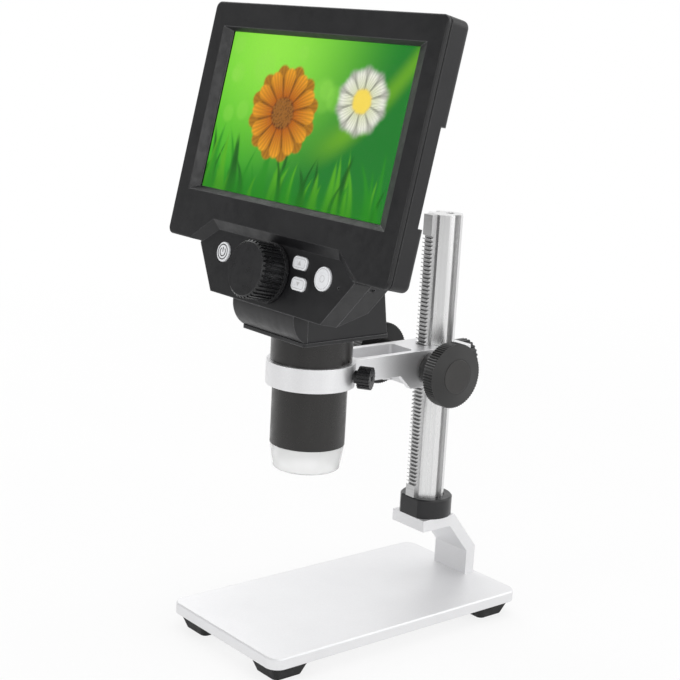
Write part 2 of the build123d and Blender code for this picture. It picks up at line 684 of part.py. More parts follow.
def rectangle_points(width, height, middle_v):
    half_w = width / 2
    half_h = height / 2
    return [
        (-half_w, middle_v - half_h),
        (half_w, middle_v - half_h),
        (half_w, middle_v + half_h),
        (-half_w, middle_v + half_h),
    ]


def chin_points(inset=0.0):
    """The control panel's outline below the screen; inset moves it inwards."""
    low = PANEL_BOTTOM_WIDTH / 2 - inset * 0.8
    wide = PANEL_WIDEST / 2 - inset * 1.15
    bottom = -PANEL_DROP + inset
    side = -PANEL_WIDEST_DROP
    return [(-low, bottom), (low, bottom), (wide, side), (wide, 0), (-wide, 0), (-wide, side)]


def notch_cut():
    """The bevelled notch over the control panel, open below the screen's lower edge."""
    below = 5.0
    outer_lean = (NOTCH_BOTTOM_WIDTH - NOTCH_TOP_WIDTH) / 2 / NOTCH_RISE
    inner_lean = (PANEL_WIDEST - PANEL_TOP_WIDTH) / 2 / (PANEL_TOP_RISE + PANEL_WIDEST_DROP)
    outer_low = NOTCH_BOTTOM_WIDTH / 2 + below * outer_lean
    inner_low = PANEL_WIDEST / 2 + (below - PANEL_WIDEST_DROP) * inner_lean
    outer = [
        (-outer_low, -below),
        (outer_low, -below),
        (NOTCH_TOP_WIDTH / 2, NOTCH_RISE),
        (-NOTCH_TOP_WIDTH / 2, NOTCH_RISE),
    ]
    inner = [
        (-inner_low, -below),
        (inner_low, -below),
        (PANEL_TOP_WIDTH / 2, PANEL_TOP_RISE),
        (-PANEL_TOP_WIDTH / 2, PANEL_TOP_RISE),
    ]
    return tapered_cut(outer, inner, PANEL_SETBACK)


def housing_screw_places():
    x = DISPLAY_WIDTH / 2 - HOUSING_SCREW_INSET
    rises = (HOUSING_SCREW_INSET, DISPLAY_HEIGHT - HOUSING_SCREW_INSET)
    return [(side * x, rise) for side in (-1, 1) for rise in rises]


def display_block(z0, z1):
    middle = Pos(0, DISPLAY_HEIGHT / 2, z0)
    return middle * extrude(RectangleRounded(DISPLAY_WIDTH, DISPLAY_HEIGHT, DISPLAY_CORNER_RADIUS), z1 - z0)


def inner_block(z0, z1, gap=0.0):
    inset = 2 * (HOUSING_WALL + gap)
    size = (DISPLAY_WIDTH - inset, DISPLAY_HEIGHT - inset, z1 - z0)
    return Pos(0, DISPLAY_HEIGHT / 2, (z0 + z1) / 2) * Box(*size)


def notch_pad(gap=0.0):
    """The thicker part of the bezel that carries the notch's bevel and the panel's upper edge."""
    half = NOTCH_BOTTOM_WIDTH / 2 + HOUSING_WALL + gap
    return span_box(-half, half, 0, NOTCH_RISE + HOUSING_WALL + gap, -panel_back - gap, -BEZEL_LIP)


def make_front_bezel():
    lip = display_block(-BEZEL_LIP, 0)
    lip = fillet(lip.faces().sort_by(Axis.Z)[-1].edges(), 0.8)
    lip = chamfer(lip.faces().sort_by(Axis.Z)[0].edges(), SEAM_CHAMFER)
    bezel = lip + inner_block(-SCREEN_RECESS, -BEZEL_LIP, 0.2) + notch_pad()
    bezel -= notch_cut()
    chin = prism(chin_points(), -CHIN_FRONT_DEPTH, -PANEL_SETBACK)
    chin -= prism(chin_points(HOUSING_WALL), -CHIN_FRONT_DEPTH - 1, -panel_back)
    bezel += chin
    window = rectangle_points(SCREEN_WINDOW_WIDTH, SCREEN_WINDOW_HEIGHT, window_mid_v)
    opening = rectangle_points(SCREEN_OPENING_WIDTH, SCREEN_OPENING_HEIGHT, screen_mid_v)
    bezel -= tapered_cut(window, opening, SCREEN_RECESS)
    for x, v in housing_screw_places():
        bezel += disc(x, v, -DISPLAY_THICKNESS + HOUSING_WALL, -SCREEN_RECESS, HOUSING_BOSS_RADIUS)
        bezel -= disc(x, v, -DISPLAY_THICKNESS, -SCREEN_RECESS - 1, HOUSING_SCREW_RADIUS)
    for x in (-KEY_BOSS_OFFSET, KEY_BOSS_OFFSET):
        bezel += disc(x, KEY_BOARD_BOTTOM + KEY_BOSS_RISE, -key_board_front, -panel_back, KEY_BOSS_RADIUS)
    bezel += disc(0, -WHEEL_DROP, -panel_back - WHEEL_BEARING_LENGTH, -panel_back, WHEEL_BEARING_RADIUS)
    bezel -= disc(0, -WHEEL_DROP, -CHIN_FRONT_DEPTH, 0, SHAFT_RADIUS + RUNNING_CLEARANCE)
    for x, v, outline in button_places():
        bezel -= Pos(x, v, -panel_back - 1) * extrude(offset(outline, BUTTON_CLEARANCE), PANEL_WALL + 2)
    bezel -= disc(MIC_HOLE_OFFSET, -MIC_HOLE_DROP, -panel_back - 1, 0, MIC_HOLE_RADIUS)
    return on_display(bezel)


def hump_points(inset=0.0):
    """The rear hump's outline behind the control panel and the screen's lower edge."""
    low = PANEL_BOTTOM_WIDTH / 2 - inset * 0.8
    wide = PANEL_WIDEST / 2 - inset
    top = HUMP_TOP_WIDTH / 2 - inset * 0.8
    return [
        (-low, -PANEL_DROP + inset),
        (low, -PANEL_DROP + inset),
        (wide, -PANEL_WIDEST_DROP),
        (wide, HUMP_SHOULDER_RISE),
        (top, HUMP_TOP_RISE - inset),
        (-top, HUMP_TOP_RISE - inset),
        (-wide, HUMP_SHOULDER_RISE),
        (-wide, -PANEL_WIDEST_DROP),
    ]


def underside_cut(gap=0.0):
    """Takes the hump's lower rear edge off at a slant; the gap keeps a wall inside it."""
    slope = HUMP_UNDERSIDE_RISE / (HUMP_DEPTH - CHIN_FRONT_DEPTH)
    beyond = 5.0
    front_z = -CHIN_FRONT_DEPTH + beyond
    back_z = -HUMP_DEPTH - beyond
    front_v = -PANEL_DROP - beyond * slope + gap
    back_v = -PANEL_DROP + HUMP_UNDERSIDE_RISE + beyond * slope + gap
    below = front_v - PANEL_DROP
    profile = [(front_v, front_z), (back_v, back_z), (below, back_z), (below, front_z)]
    return side_prism(profile, PANEL_WIDEST)


def finger_recess(gap=0.0):
    """The shallow recess in the back at each side of the display."""
    cuts = []
    half = DISPLAY_WIDTH / 2
    for side in (-1, 1):
        outer = side * (half + 1)
        inner = side * (half - FINGER_RECESS_WIDTH - gap)
        depth = DISPLAY_THICKNESS - FINGER_RECESS_DEPTH - gap
        cuts.append(
            span_box(
                min(inner, outer), max(inner, outer), FINGER_RECESS_BOTTOM - gap, FINGER_RECESS_TOP + gap,
                -DISPLAY_THICKNESS - 1, -depth,
            )
        )
    return cuts


def make_rear_cover():
    cover = display_block(-DISPLAY_THICKNESS, -BEZEL_LIP)
    cover = fillet(cover.faces().sort_by(Axis.Z)[0].edges(), DISPLAY_BACK_FILLET)
    cover = chamfer(cover.faces().sort_by(Axis.Z)[-1].edges(), SEAM_CHAMFER)
    cavity = inner_block(-DISPLAY_THICKNESS + HOUSING_WALL, -BEZEL_LIP + 1)
    cover -= finger_recess()
    cavity -= finger_recess(HOUSING_WALL)
    cover -= cavity
    hump = prism(hump_points(), -HUMP_DEPTH, -min(DISPLAY_THICKNESS, CHIN_FRONT_DEPTH))
    hump -= span_box(-PANEL_WIDEST, PANEL_WIDEST, -PANEL_DROP - 1, 0, -CHIN_FRONT_DEPTH, 0)
    hump -= underside_cut()
    inside = prism(hump_points(HOUSING_WALL), -HUMP_DEPTH + HOUSING_WALL, 0)
    inside -= underside_cut(HOUSING_WALL)
    inside -= span_box(-PANEL_WIDEST, PANEL_WIDEST, -0.01, DISPLAY_HEIGHT, -DISPLAY_THICKNESS, 1)
    hump -= inside
    cover += hump
    cover -= notch_pad(0.05)
    chin_half = PANEL_WIDEST / 2 - 2 * HOUSING_WALL
    cover -= span_box(-chin_half, chin_half, -1, HOUSING_WALL + CHIN_PASSAGE, -DISPLAY_THICKNESS, 0)
    wire_half = WIRE_SLOT_WIDTH / 2
    wire_top = WIRE_SLOT_BOTTOM + WIRE_SLOT_HEIGHT
    for back in (-HUMP_DEPTH, -DISPLAY_THICKNESS):
        front = back + HOUSING_WALL + 1
        cover -= span_box(-wire_half, wire_half, WIRE_SLOT_BOTTOM, wire_top, back - 1, front)
    for x, v in housing_screw_places():
        cover -= disc(x, v, -DISPLAY_THICKNESS - 1, -SCREEN_RECESS, HOUSING_SCREW_RADIUS)
        head = -DISPLAY_THICKNESS + HOUSING_SCREW_HEAD_HEIGHT
        cover -= disc(x, v, -DISPLAY_THICKNESS - 1, head, HOUSING_SCREW_HEAD_RADIUS + 0.1)
    cover -= port_block(-1, USB_WIDTH, USB_HEIGHT, HOUSING_WALL + 1, 0)
    cover -= port_block(1, CARD_SLOT_WIDTH, CARD_SLOT_HEIGHT, HOUSING_WALL + 1, 0)
    return on_display(cover - side_notch())


def side_notch():
    """The small notch in the right slanted side, just behind the seam."""
    lean = (PANEL_WIDEST - PANEL_BOTTOM_WIDTH) / 2 / (PANEL_DROP - PANEL_WIDEST_DROP)
    floor = PANEL_WIDEST / 2 - (SIDE_NOTCH_DROP - PANEL_WIDEST_DROP) * lean - SIDE_NOTCH_DEPTH
    low = -SIDE_NOTCH_DROP - SIDE_NOTCH_WIDTH / 2
    front = -CHIN_FRONT_DEPTH - SIDE_NOTCH_SETBACK
    return span_box(floor, PANEL_WIDEST, low, low + SIDE_NOTCH_WIDTH, front - SIDE_NOTCH_LENGTH, front)


def port_block(side, width, height, length, skin):
    """A port's block in a side wall of the hump; a skin of 0 lets it cut through the wall."""
    outer = side * (PANEL_WIDEST / 2 + (1 if skin == 0 else -skin))
    inner = side * (PANEL_WIDEST / 2 - length)
    return span_box(
        min(outer, inner), max(outer, inner), PORT_RISE - width / 2, PORT_RISE + width / 2,
        -PORT_DEPTH - height / 2, -PORT_DEPTH + height / 2,
    )


def make_port(side, width, height, length):
    """A port's metal shell, with its opening."""
    shell = port_block(side, width, height, length, 0.3)
    return on_display(shell - port_block(side, width - 0.8, height - 0.8, length - 1, 0))


def make_screen_glass():
    width = SCREEN_OPENING_WIDTH + 2 * GLASS_MARGIN
    height = SCREEN_OPENING_HEIGHT + 2 * GLASS_MARGIN
    glass = prism(rectangle_points(width, height, screen_mid_v), -glass_back, -SCREEN_RECESS)
    return on_display(glass)


def make_lcd_panel():
    points = rectangle_points(LCD_WIDTH, LCD_HEIGHT, screen_mid_v)
    return on_display(prism(points, -lcd_back, -glass_back))


def make_main_board():
    points = rectangle_points(MAIN_BOARD_WIDTH, MAIN_BOARD_HEIGHT, screen_mid_v)
    return on_display(prism(points, -lcd_back - BOARD_THICKNESS, -lcd_back))


# ---------------------------------------------------------------- head: controls
def button_places():
    """Each button's centre on the panel and its outline, left to right."""
    small = RectangleRounded(SMALL_BUTTON_WIDTH, SMALL_BUTTON_HEIGHT, SMALL_BUTTON_CORNER)
    side = SIDE_BUTTON_SPACING / 2
    low = SMALL_BUTTON_RISE - SMALL_BUTTON_SPACING
    return [
        (-side, -SIDE_BUTTON_DROP, Circle(POWER_BUTTON_RADIUS)),
        (UP_BUTTON_OFFSET, SMALL_BUTTON_RISE, small),
        (DOWN_BUTTON_OFFSET, low, small),
        (side, -SIDE_BUTTON_DROP, Circle(ROUND_BUTTON_RADIUS)),
    ]


def make_button(x, v, outline):
    cap = extrude(outline, BUTTON_PROUD - PANEL_SETBACK + button_flange_front)
    cap = fillet(cap.faces().sort_by(Axis.Z)[-1].edges(), BUTTON_EDGE)
    flange = extrude(offset(outline, BUTTON_FLANGE), -BUTTON_FLANGE_THICKNESS)
    return on_display(Pos(x, v, -button_flange_front) * (cap + flange))


def make_key_board():
    top = KEY_BOARD_BOTTOM + KEY_BOARD_HEIGHT
    half = KEY_BOARD_WIDTH / 2
    back = -key_board_front - BOARD_THICKNESS
    board = span_box(-half, half, KEY_BOARD_BOTTOM, top, back, -key_board_front)
    board -= disc(0, -WHEEL_DROP, -CHIN_FRONT_DEPTH, 0, SHAFT_RADIUS + 1)
    return on_display(board)


def make_key_switches():
    switches = []
    z = -key_board_front + SWITCH_HEIGHT / 2
    for x, v, outline in button_places():
        switches.append(Pos(x, v, z) * Box(SWITCH_SIDE, SWITCH_SIDE, SWITCH_HEIGHT))
    return on_display(Compound(switches))


def make_focus_wheel():
    start = -PANEL_SETBACK + WHEEL_GAP
    end = -PANEL_SETBACK + WHEEL_HEIGHT
    flange_end = start + WHEEL_FLANGE_HEIGHT
    grip = ribbed_disc(WHEEL_RADIUS, WHEEL_FLUTE_DEPTH, WHEEL_FLUTES, flange_end, end)
    blank = disc(0, 0, flange_end - 1, end, WHEEL_RADIUS + 1)
    grip &= chamfer(blank.faces().sort_by(Axis.Z)[-1].edges(), WHEEL_EDGE + 1)
    wheel = grip + disc(0, 0, start, flange_end, WHEEL_FLANGE_RADIUS)
    floor = WHEEL_FLANGE_RADIUS - WHEEL_GROOVE_DEPTH
    for share in (1 / 3, 2 / 3):
        low = start + share * WHEEL_FLANGE_HEIGHT
        groove = disc(0, 0, low, low + WHEEL_GROOVE_WIDTH, WHEEL_FLANGE_RADIUS + 1)
        wheel -= groove - disc(0, 0, low, low + WHEEL_GROOVE_WIDTH, floor)
    wheel -= disc(0, 0, start - 1, end - WHEEL_BORE_FLOOR, SHAFT_RADIUS)
    return on_display(Pos(0, -WHEEL_DROP, 0) * wheel)


def make_focus_shaft():
    end = -PANEL_SETBACK + WHEEL_HEIGHT - WHEEL_BORE_FLOOR
    shaft = disc(0, -WHEEL_DROP, -PANEL_SETBACK - WHEEL_SHAFT_LENGTH, end, SHAFT_RADIUS)
    return on_display(shaft)


# ---------------------------------------------------------------- head: camera body and barrel
def body_outline():
    """The camera body's side profile behind and below the display housing."""
    return [
        (body_front_y, body_bottom_z),
        (body_back_y, body_bottom_z),
        (body_back_top_y, body_back_top_z),
        display_point(DISPLAY_THICKNESS, BODY_ROOF_RISE),
        display_point(DISPLAY_THICKNESS, HUMP_TOP_RISE),
        display_point(HUMP_DEPTH, HUMP_TOP_RISE),
        display_point(HUMP_DEPTH, -PANEL_DROP + HUMP_UNDERSIDE_RISE),
        display_point(CHIN_FRONT_DEPTH, -PANEL_DROP),
        display_point(PANEL_SETBACK, -PANEL_DROP),
    ]


def body_inside():
    """The side profile of the camera body's cavity, open below, at the nose and into the housing."""
    wall = HOUSING_WALL
    roof = BODY_ROOF_RISE - 1.4 * wall
    front_y = nose_seam_y - 1
    front_z = display_point(DISPLAY_THICKNESS, -PANEL_DROP)[1] + HOUSING_WALL
    return [
        (front_y, body_bottom_z - 1),
        (body_back_y - wall, body_bottom_z - 1),
        (body_back_top_y - wall, body_back_top_z - wall / 2),
        display_point(DISPLAY_THICKNESS, roof),
        display_point(DISPLAY_THICKNESS - 1, roof),
        display_point(DISPLAY_THICKNESS - 1, 0),
        (front_y, front_z),
    ]


def nose_profile(inset=0.0):
    """The nose's rounded front: an arc from the body's front edge up to the control panel."""
    top_y, top_z = display_point(PANEL_SETBACK, -PANEL_DROP)
    low = (body_front_y + inset, body_bottom_z)
    high = (top_y + inset, top_z)
    middle = ((low[0] + high[0]) / 2, (low[1] + high[1]) / 2)
    run = (high[0] - low[0], high[1] - low[1])
    reach = math.hypot(*run)
    bulge = (middle[0] - NOSE_BULGE * run[1] / reach, middle[1] + NOSE_BULGE * run[0] / reach)
    back_y, back_z = display_point(CHIN_FRONT_DEPTH, -PANEL_DROP)
    chain = ThreePointArc(low, bulge, high) + Polyline(high, (back_y, back_z), (back_y, low[1]), low)
    return make_face(Plane.YZ * chain)


def body_block(half_width):
    blank = side_prism(body_outline(), half_width)
    return blank + extrude(nose_profile(), half_width, both=True)


def nose_seam():
    return Plane(origin=(0, nose_seam_y, 0), z_dir=(0, 1, 0))


def make_nose_cover():
    half = BODY_WIDTH / 2
    nose = split(body_block(half), bisect_by=nose_seam(), keep=Keep.BOTTOM)
    inside = extrude(nose_profile(HOUSING_WALL), half - HOUSING_WALL, both=True)
    return nose - inside


def make_camera_body():
    half = BODY_WIDTH / 2
    body = split(body_block(half), bisect_by=nose_seam(), keep=Keep.TOP)
    return body - side_prism(body_inside(), half - HOUSING_WALL)


def make_body_base_plate():
    over = BASE_FLANGE_OVERHANG
    half = BODY_WIDTH / 2 + over
    length = body_back_y - body_front_y + 2 * over
    middle_y = (body_back_y + body_front_y) / 2
    plate = extrude(RectangleRounded(2 * half, length, 1.5), BASE_FLANGE_THICKNESS)
    plate = Pos(0, middle_y, flange_bottom) * plate
    return plate - disc(0, barrel_y, flange_bottom - 1, body_bottom_z + 1, LIGHT_PATH_RADIUS)


def make_barrel_upper():
    tube = disc(0, barrel_y, carriage_top, flange_bottom, BARREL_UPPER_RADIUS)
    return tube - disc(0, barrel_y, carriage_top - 1, flange_bottom + 1, BARREL_BORE_RADIUS)


def make_barrel_lower():
    tube = disc(0, barrel_y, barrel_bottom, carriage_top, BARREL_LOWER_RADIUS)
    return tube - disc(0, barrel_y, barrel_bottom - 1, carriage_top + 1, BARREL_BORE_RADIUS)


def make_light_tip():
    tip_bottom = barrel_bottom - TIP_LENGTH
    middle = (barrel_bottom + tip_bottom) / 2
    outer = Cone(TIP_BOTTOM_RADIUS, TIP_TOP_RADIUS, TIP_LENGTH)
    inner = Cone(TIP_BORE_BOTTOM_RADIUS, TIP_BORE_TOP_RADIUS, TIP_LENGTH)
    tip = Pos(0, barrel_y, middle) * (outer - inner)
    tip = fillet(tip.edges().group_by(Axis.Z)[0], TIP_EDGE)
    spigot_top = barrel_bottom + TIP_SPIGOT
    spigot = disc(0, barrel_y, barrel_bottom, spigot_top, BARREL_BORE_RADIUS)
    return tip + (spigot - disc(0, barrel_y, barrel_bottom, spigot_top, TIP_BORE_TOP_RADIUS))


def make_led_board():
    bottom = barrel_bottom + TIP_SPIGOT
    board = disc(0, barrel_y, bottom, bottom + BOARD_THICKNESS, BARREL_BORE_RADIUS)
    return board - disc(0, barrel_y, bottom - 1, bottom + BOARD_THICKNESS + 1, LED_BOARD_BORE_RADIUS)


def make_leds():
    top = barrel_bottom + TIP_SPIGOT
    led = disc(0, 0, top - LED_HEIGHT, top, LED_RADIUS)
    led = fillet(led.faces().sort_by(Axis.Z)[0].edges(), LED_RADIUS * 0.6)
    return Compound([Pos(0, barrel_y, 0) * loc * led for loc in PolarLocations(LED_CIRCLE_RADIUS, LED_COUNT)])


def make_lens_cell():
    top = lens_cell_bottom + LENS_CELL_LENGTH
    cell = disc(0, barrel_y, lens_cell_bottom, top, BARREL_BORE_RADIUS - RUNNING_CLEARANCE)
    return cell - disc(0, barrel_y, lens_cell_bottom - 1, top + 1, LENS_CELL_BORE_RADIUS)


def make_lens(bottom):
    return disc(0, barrel_y, bottom, bottom + LENS_THICKNESS, LENS_CELL_BORE_RADIUS)


def make_sensor_board():
    half = SENSOR_BOARD_SIDE / 2
    top = body_bottom_z + BOARD_THICKNESS
    return span_box(-half, half, barrel_y - half, barrel_y + half, body_bottom_z, top)


def make_image_sensor():
    half = SENSOR_SIDE / 2
    bottom = body_bottom_z - SENSOR_THICKNESS
    return span_box(-half, half, barrel_y - half, barrel_y + half, bottom, body_bottom_z)


def make_battery():
    back = body_back_top_y - BATTERY_BACK_GAP + HOUSING_WALL
    half = BATTERY_WIDTH / 2
    top = body_bottom_z + BATTERY_HEIGHT
    battery = span_box(-half, half, back - BATTERY_THICKNESS, back, body_bottom_z, top)
    return fillet(battery.edges().filter_by(Axis.Z), 2)


# ---------------------------------------------------------------- write every sub-part
def build_parts():
    parts = {
        "base_plate": make_base_plate(),
        "bracket_screws": make_bracket_screws(),
        "riser_bracket": make_riser_bracket(),
        "column": make_column(),
        "rack": make_rack(),
        "column_collar": make_collar(),
        "column_bolt": make_column_bolt(),
        "arm": make_arm(),
        "brake_pad": make_brake_pad(),
        "pinion_shaft": make_pinion_shaft(),
        "lock_knob": make_lock_knob(),
        "lock_screw": make_lock_screw(),
        "thumbscrew": make_thumbscrew(),
        "front_bezel": make_front_bezel(),
        "rear_cover": make_rear_cover(),
        "screen_glass": make_screen_glass(),
        "lcd_panel": make_lcd_panel(),
        "main_board": make_main_board(),
        "key_board": make_key_board(),
        "key_switches": make_key_switches(),
        "focus_wheel": make_focus_wheel(),
        "focus_shaft": make_focus_shaft(),
        "nose_cover": make_nose_cover(),
        "camera_body": make_camera_body(),
        "body_base_plate": make_body_base_plate(),
        "barrel_upper": make_barrel_upper(),
        "barrel_lower": make_barrel_lower(),
        "light_tip": make_light_tip(),
        "led_board": make_led_board(),
        "leds": make_leds(),
        "lens_cell": make_lens_cell(),
        "front_lens": make_lens(lens_cell_bottom + LENS_SEAT),
        "rear_lens": make_lens(lens_cell_bottom + LENS_CELL_LENGTH - LENS_THICKNESS - LENS_SEAT),
        "sensor_board": make_sensor_board(),
        "image_sensor": make_image_sensor(),
        "battery": make_battery(),
        "usb_port": make_port(-1, USB_WIDTH, USB_HEIGHT, USB_LENGTH),
        "card_slot": make_port(1, CARD_SLOT_WIDTH, CARD_SLOT_HEIGHT, CARD_SLOT_LENGTH),
    }
    for name, side_x, side_y in (
        ("front_left", -1, -1),
        ("front_right", 1, -1),
        ("rear_left", -1, 1),
        ("rear_right", 1, 1),
    ):
        parts["foot_" + name] = make_foot(side_x, side_y)
    for name, side in (("left", -1), ("right", 1)):
        parts["bush_" + name] = make_bush(side)
        parts["knob_" + name] = make_knob(side)
        parts["knob_cap_" + name] = make_knob_cap(side)
    names = ("power_button", "up_button", "down_button", "round_button")
    for name, (x, v, outline) in zip(names, button_places()):
        parts[name] = make_button(x, v, outline)
    return parts


parts = build_parts()
os.makedirs("parts", exist_ok=True)
for name, shape in parts.items():
    shape.label = name
    export_step(shape, f"parts/{name}.step")
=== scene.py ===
import json
import math
import random

import bmesh
import bpy
import numpy as np
from mathutils import Matrix, Vector


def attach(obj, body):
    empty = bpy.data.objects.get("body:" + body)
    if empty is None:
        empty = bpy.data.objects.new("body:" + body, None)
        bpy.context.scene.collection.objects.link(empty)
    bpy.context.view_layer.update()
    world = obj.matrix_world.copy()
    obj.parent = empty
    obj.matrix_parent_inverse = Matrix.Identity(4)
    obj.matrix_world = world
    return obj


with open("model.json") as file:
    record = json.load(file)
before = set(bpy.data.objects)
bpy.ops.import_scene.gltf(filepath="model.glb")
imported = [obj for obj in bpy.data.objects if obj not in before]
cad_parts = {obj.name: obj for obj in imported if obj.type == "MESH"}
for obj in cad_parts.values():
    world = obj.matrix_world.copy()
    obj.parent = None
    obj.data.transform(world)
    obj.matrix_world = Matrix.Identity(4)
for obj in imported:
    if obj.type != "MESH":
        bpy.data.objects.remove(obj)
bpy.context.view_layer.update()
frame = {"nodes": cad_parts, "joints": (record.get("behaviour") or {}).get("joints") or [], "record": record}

nodes = frame["nodes"]
MM = 0.001

# ---------------------------------------------------------------- the photograph's camera
# Its place in mm, its angles in degrees, and its focal length as the photo's pixels give it.
CAMERA_PLACE = (613.2, -535.7, 351.0)
CAMERA_AZIMUTH = 49.81
CAMERA_ELEVATION = 12.69
CAMERA_ROLL = 3.15
FOCAL_LENGTH_PIXELS = 1479
PHOTO_WIDTH_PIXELS = 680
SENSOR_WIDTH = 36
NEAREST_SEEN = 0.01
FARTHEST_SEEN = 50

# ---------------------------------------------------------------- sizes of the small pieces
# They are in mm, and a share is of the size that it goes with.
GLASS_LAP = 1.6
PICTURE_COLUMNS = 216
PICTURE_ROWS = 124
PICTURE_GAP = 0.06

SIGN_LAYER_THICKNESS = 0.04
FACE_TOLERANCE = 0.02
WELD_DISTANCE = 0.001
ROUND_STEPS = 48
POWER_RING_SHARE = 0.80
POWER_RING_WIDTH = 0.7
POWER_SIGN_SHARE = 0.46
POWER_SIGN_WIDTH = 0.7
POWER_SIGN_HALF_GAP_DEGREES = 34
POWER_SIGN_STEPS = 28
ARROW_HALF_WIDTH = 1.5
ARROW_HALF_HEIGHT = 1.1
OUTLINE_INSET = 0.6
OUTLINE_WIDTH = 0.3
OUTLINE_CORNER = 1.2
OUTLINE_CORNER_STEPS = 6
SELECT_SIGN_RADIUS = 1.7
SELECT_SIGN_STEPS = 32

SCREW_INSET = 6.6
SCREW_SPAN = 120.8
SCREW_HEAD_RADIUS = 2.1
SCREW_HEAD_HEIGHT = 0.9
SCREW_SKIRT_SHARE = 0.35
SCREW_DOME_SHARE = 0.95
SCREW_TOP_SHARE = 0.08
SCREW_RINGS = 7
SCREW_STEPS = 28
SCREW_SLOT_LENGTH = 2.4
SCREW_SLOT_WIDTH = 0.5
SCREW_SLOT_DEPTH = 0.5
SCREW_SEAT_SEARCH = 1.2

# ---------------------------------------------------------------- sizes and shades of the stage
# Distances are in metres. Shades are shares of plain white.
FLOOR_NEAR = 0.35
FLOOR_FAR = 1.1
FLOOR_REACH = 6.0
FLOOR_STEPS = 48
FLOOR_NEAR_WHITE = 0.80
FLOOR_SHADE = 0.60
FLOOR_SHADE_FROM = 0.45
FLOOR_SHADE_TO = 1.1
WORLD_LIGHT = 0.55
ROOM_SIDE = (0.0, -1.0, 0.0)
ROOM_SHADE = 0.32
ROOM_SHADE_FROM = -0.1
ROOM_SHADE_TO = 0.5

# Large soft boxes, none much brighter than the white background that metal mirrors.
LAMPS = {
    "key": dict(place=(1.45, -1.25, 0.95), target=(0, 0, 0.2), size=1.9, power=9.2),
    "front": dict(place=(-0.22, -1.55, 0.58), target=(0, 0, 0.25), size=0.8, power=5.4),
    "right": dict(place=(1.7, 0.35, 0.6), target=(0, 0, 0.2), size=1.2, power=4),
    "left": dict(place=(-1.5, 0.25, 1.2), target=(0, 0, 0.2), size=1.4, power=7),
    "top": dict(place=(0.1, 0.3, 1.9), target=(0, 0, 0.1), size=1.5, power=9.5),
    "back": dict(place=(0.9, 1.5, 0.9), target=(0, 0, 0.2), size=1.4, power=5.5),
}

# ---------------------------------------------------------------- finishes
# Noise scales are per metre. Depths of bumps and radii of edges are in mm.
BLACK = (0.0065, 0.0065, 0.0075)
SOFT_BLACK = (0.0105, 0.0105, 0.0115)
# Lighter black on the edges: partly rubbing wear, partly a painted highlight along them.
RUBBED_AND_HIGHLIT_BLACK = (0.13, 0.13, 0.135)

# Moulded plastics and rubber. Each worn colour lightens the edges, partly as wear and partly as a painted
# highlight.
PLASTICS = {
    "housing_black": dict(
        dark=BLACK,
        light=SOFT_BLACK,
        worn=RUBBED_AND_HIGHLIT_BLACK,
        rough=0.38,
        grain=2600,
        depth=0.03,
        shine=0.38,
        edge=0.9,
    ),
    "knob_black": dict(
        dark=BLACK,
        light=SOFT_BLACK,
        worn=RUBBED_AND_HIGHLIT_BLACK,
        rough=0.32,
        grain=2000,
        depth=0.01,
        shine=0.45,
        edge=0.18,
    ),
    "cap_black": dict(
        dark=(0.016, 0.015, 0.014),
        light=(0.022, 0.020, 0.019),
        worn=RUBBED_AND_HIGHLIT_BLACK,
        rough=0.42,
        grain=2000,
        depth=0.02,
        edge=0.3,
    ),
    "rubber_black": dict(
        dark=(0.008, 0.008, 0.008),
        light=(0.015, 0.015, 0.015),
        worn=RUBBED_AND_HIGHLIT_BLACK,
        rough=0.66,
        grain=1200,
        depth=0.10,
        shine=0.3,
        edge=0.6,
    ),
    "barrel_black": dict(
        dark=(0.008, 0.007, 0.0065),
        light=(0.011, 0.010, 0.009),
        worn=RUBBED_AND_HIGHLIT_BLACK,
        rough=0.30,
        grain=1500,
        depth=0.002,
    ),
    "button_silver": dict(
        dark=(0.72, 0.73, 0.75),
        light=(0.80, 0.81, 0.83),
        worn=(0.93, 0.93, 0.94),
        rough=0.30,
        grain=1500,
        depth=0.01,
        shine=0.6,
        edge=0.5,
    ),
    "nylon": dict(
        dark=(0.78, 0.77, 0.72),
        light=(0.86, 0.85, 0.80),
        worn=(0.90, 0.89, 0.85),
        rough=0.5,
        grain=800,
        depth=0.02,
    ),
    "component_black": dict(
        dark=(0.01, 0.01, 0.01),
        light=(0.03, 0.03, 0.03),
        worn=RUBBED_AND_HIGHLIT_BLACK,
        rough=0.4,
        grain=900,
        depth=0.02,
    ),
}

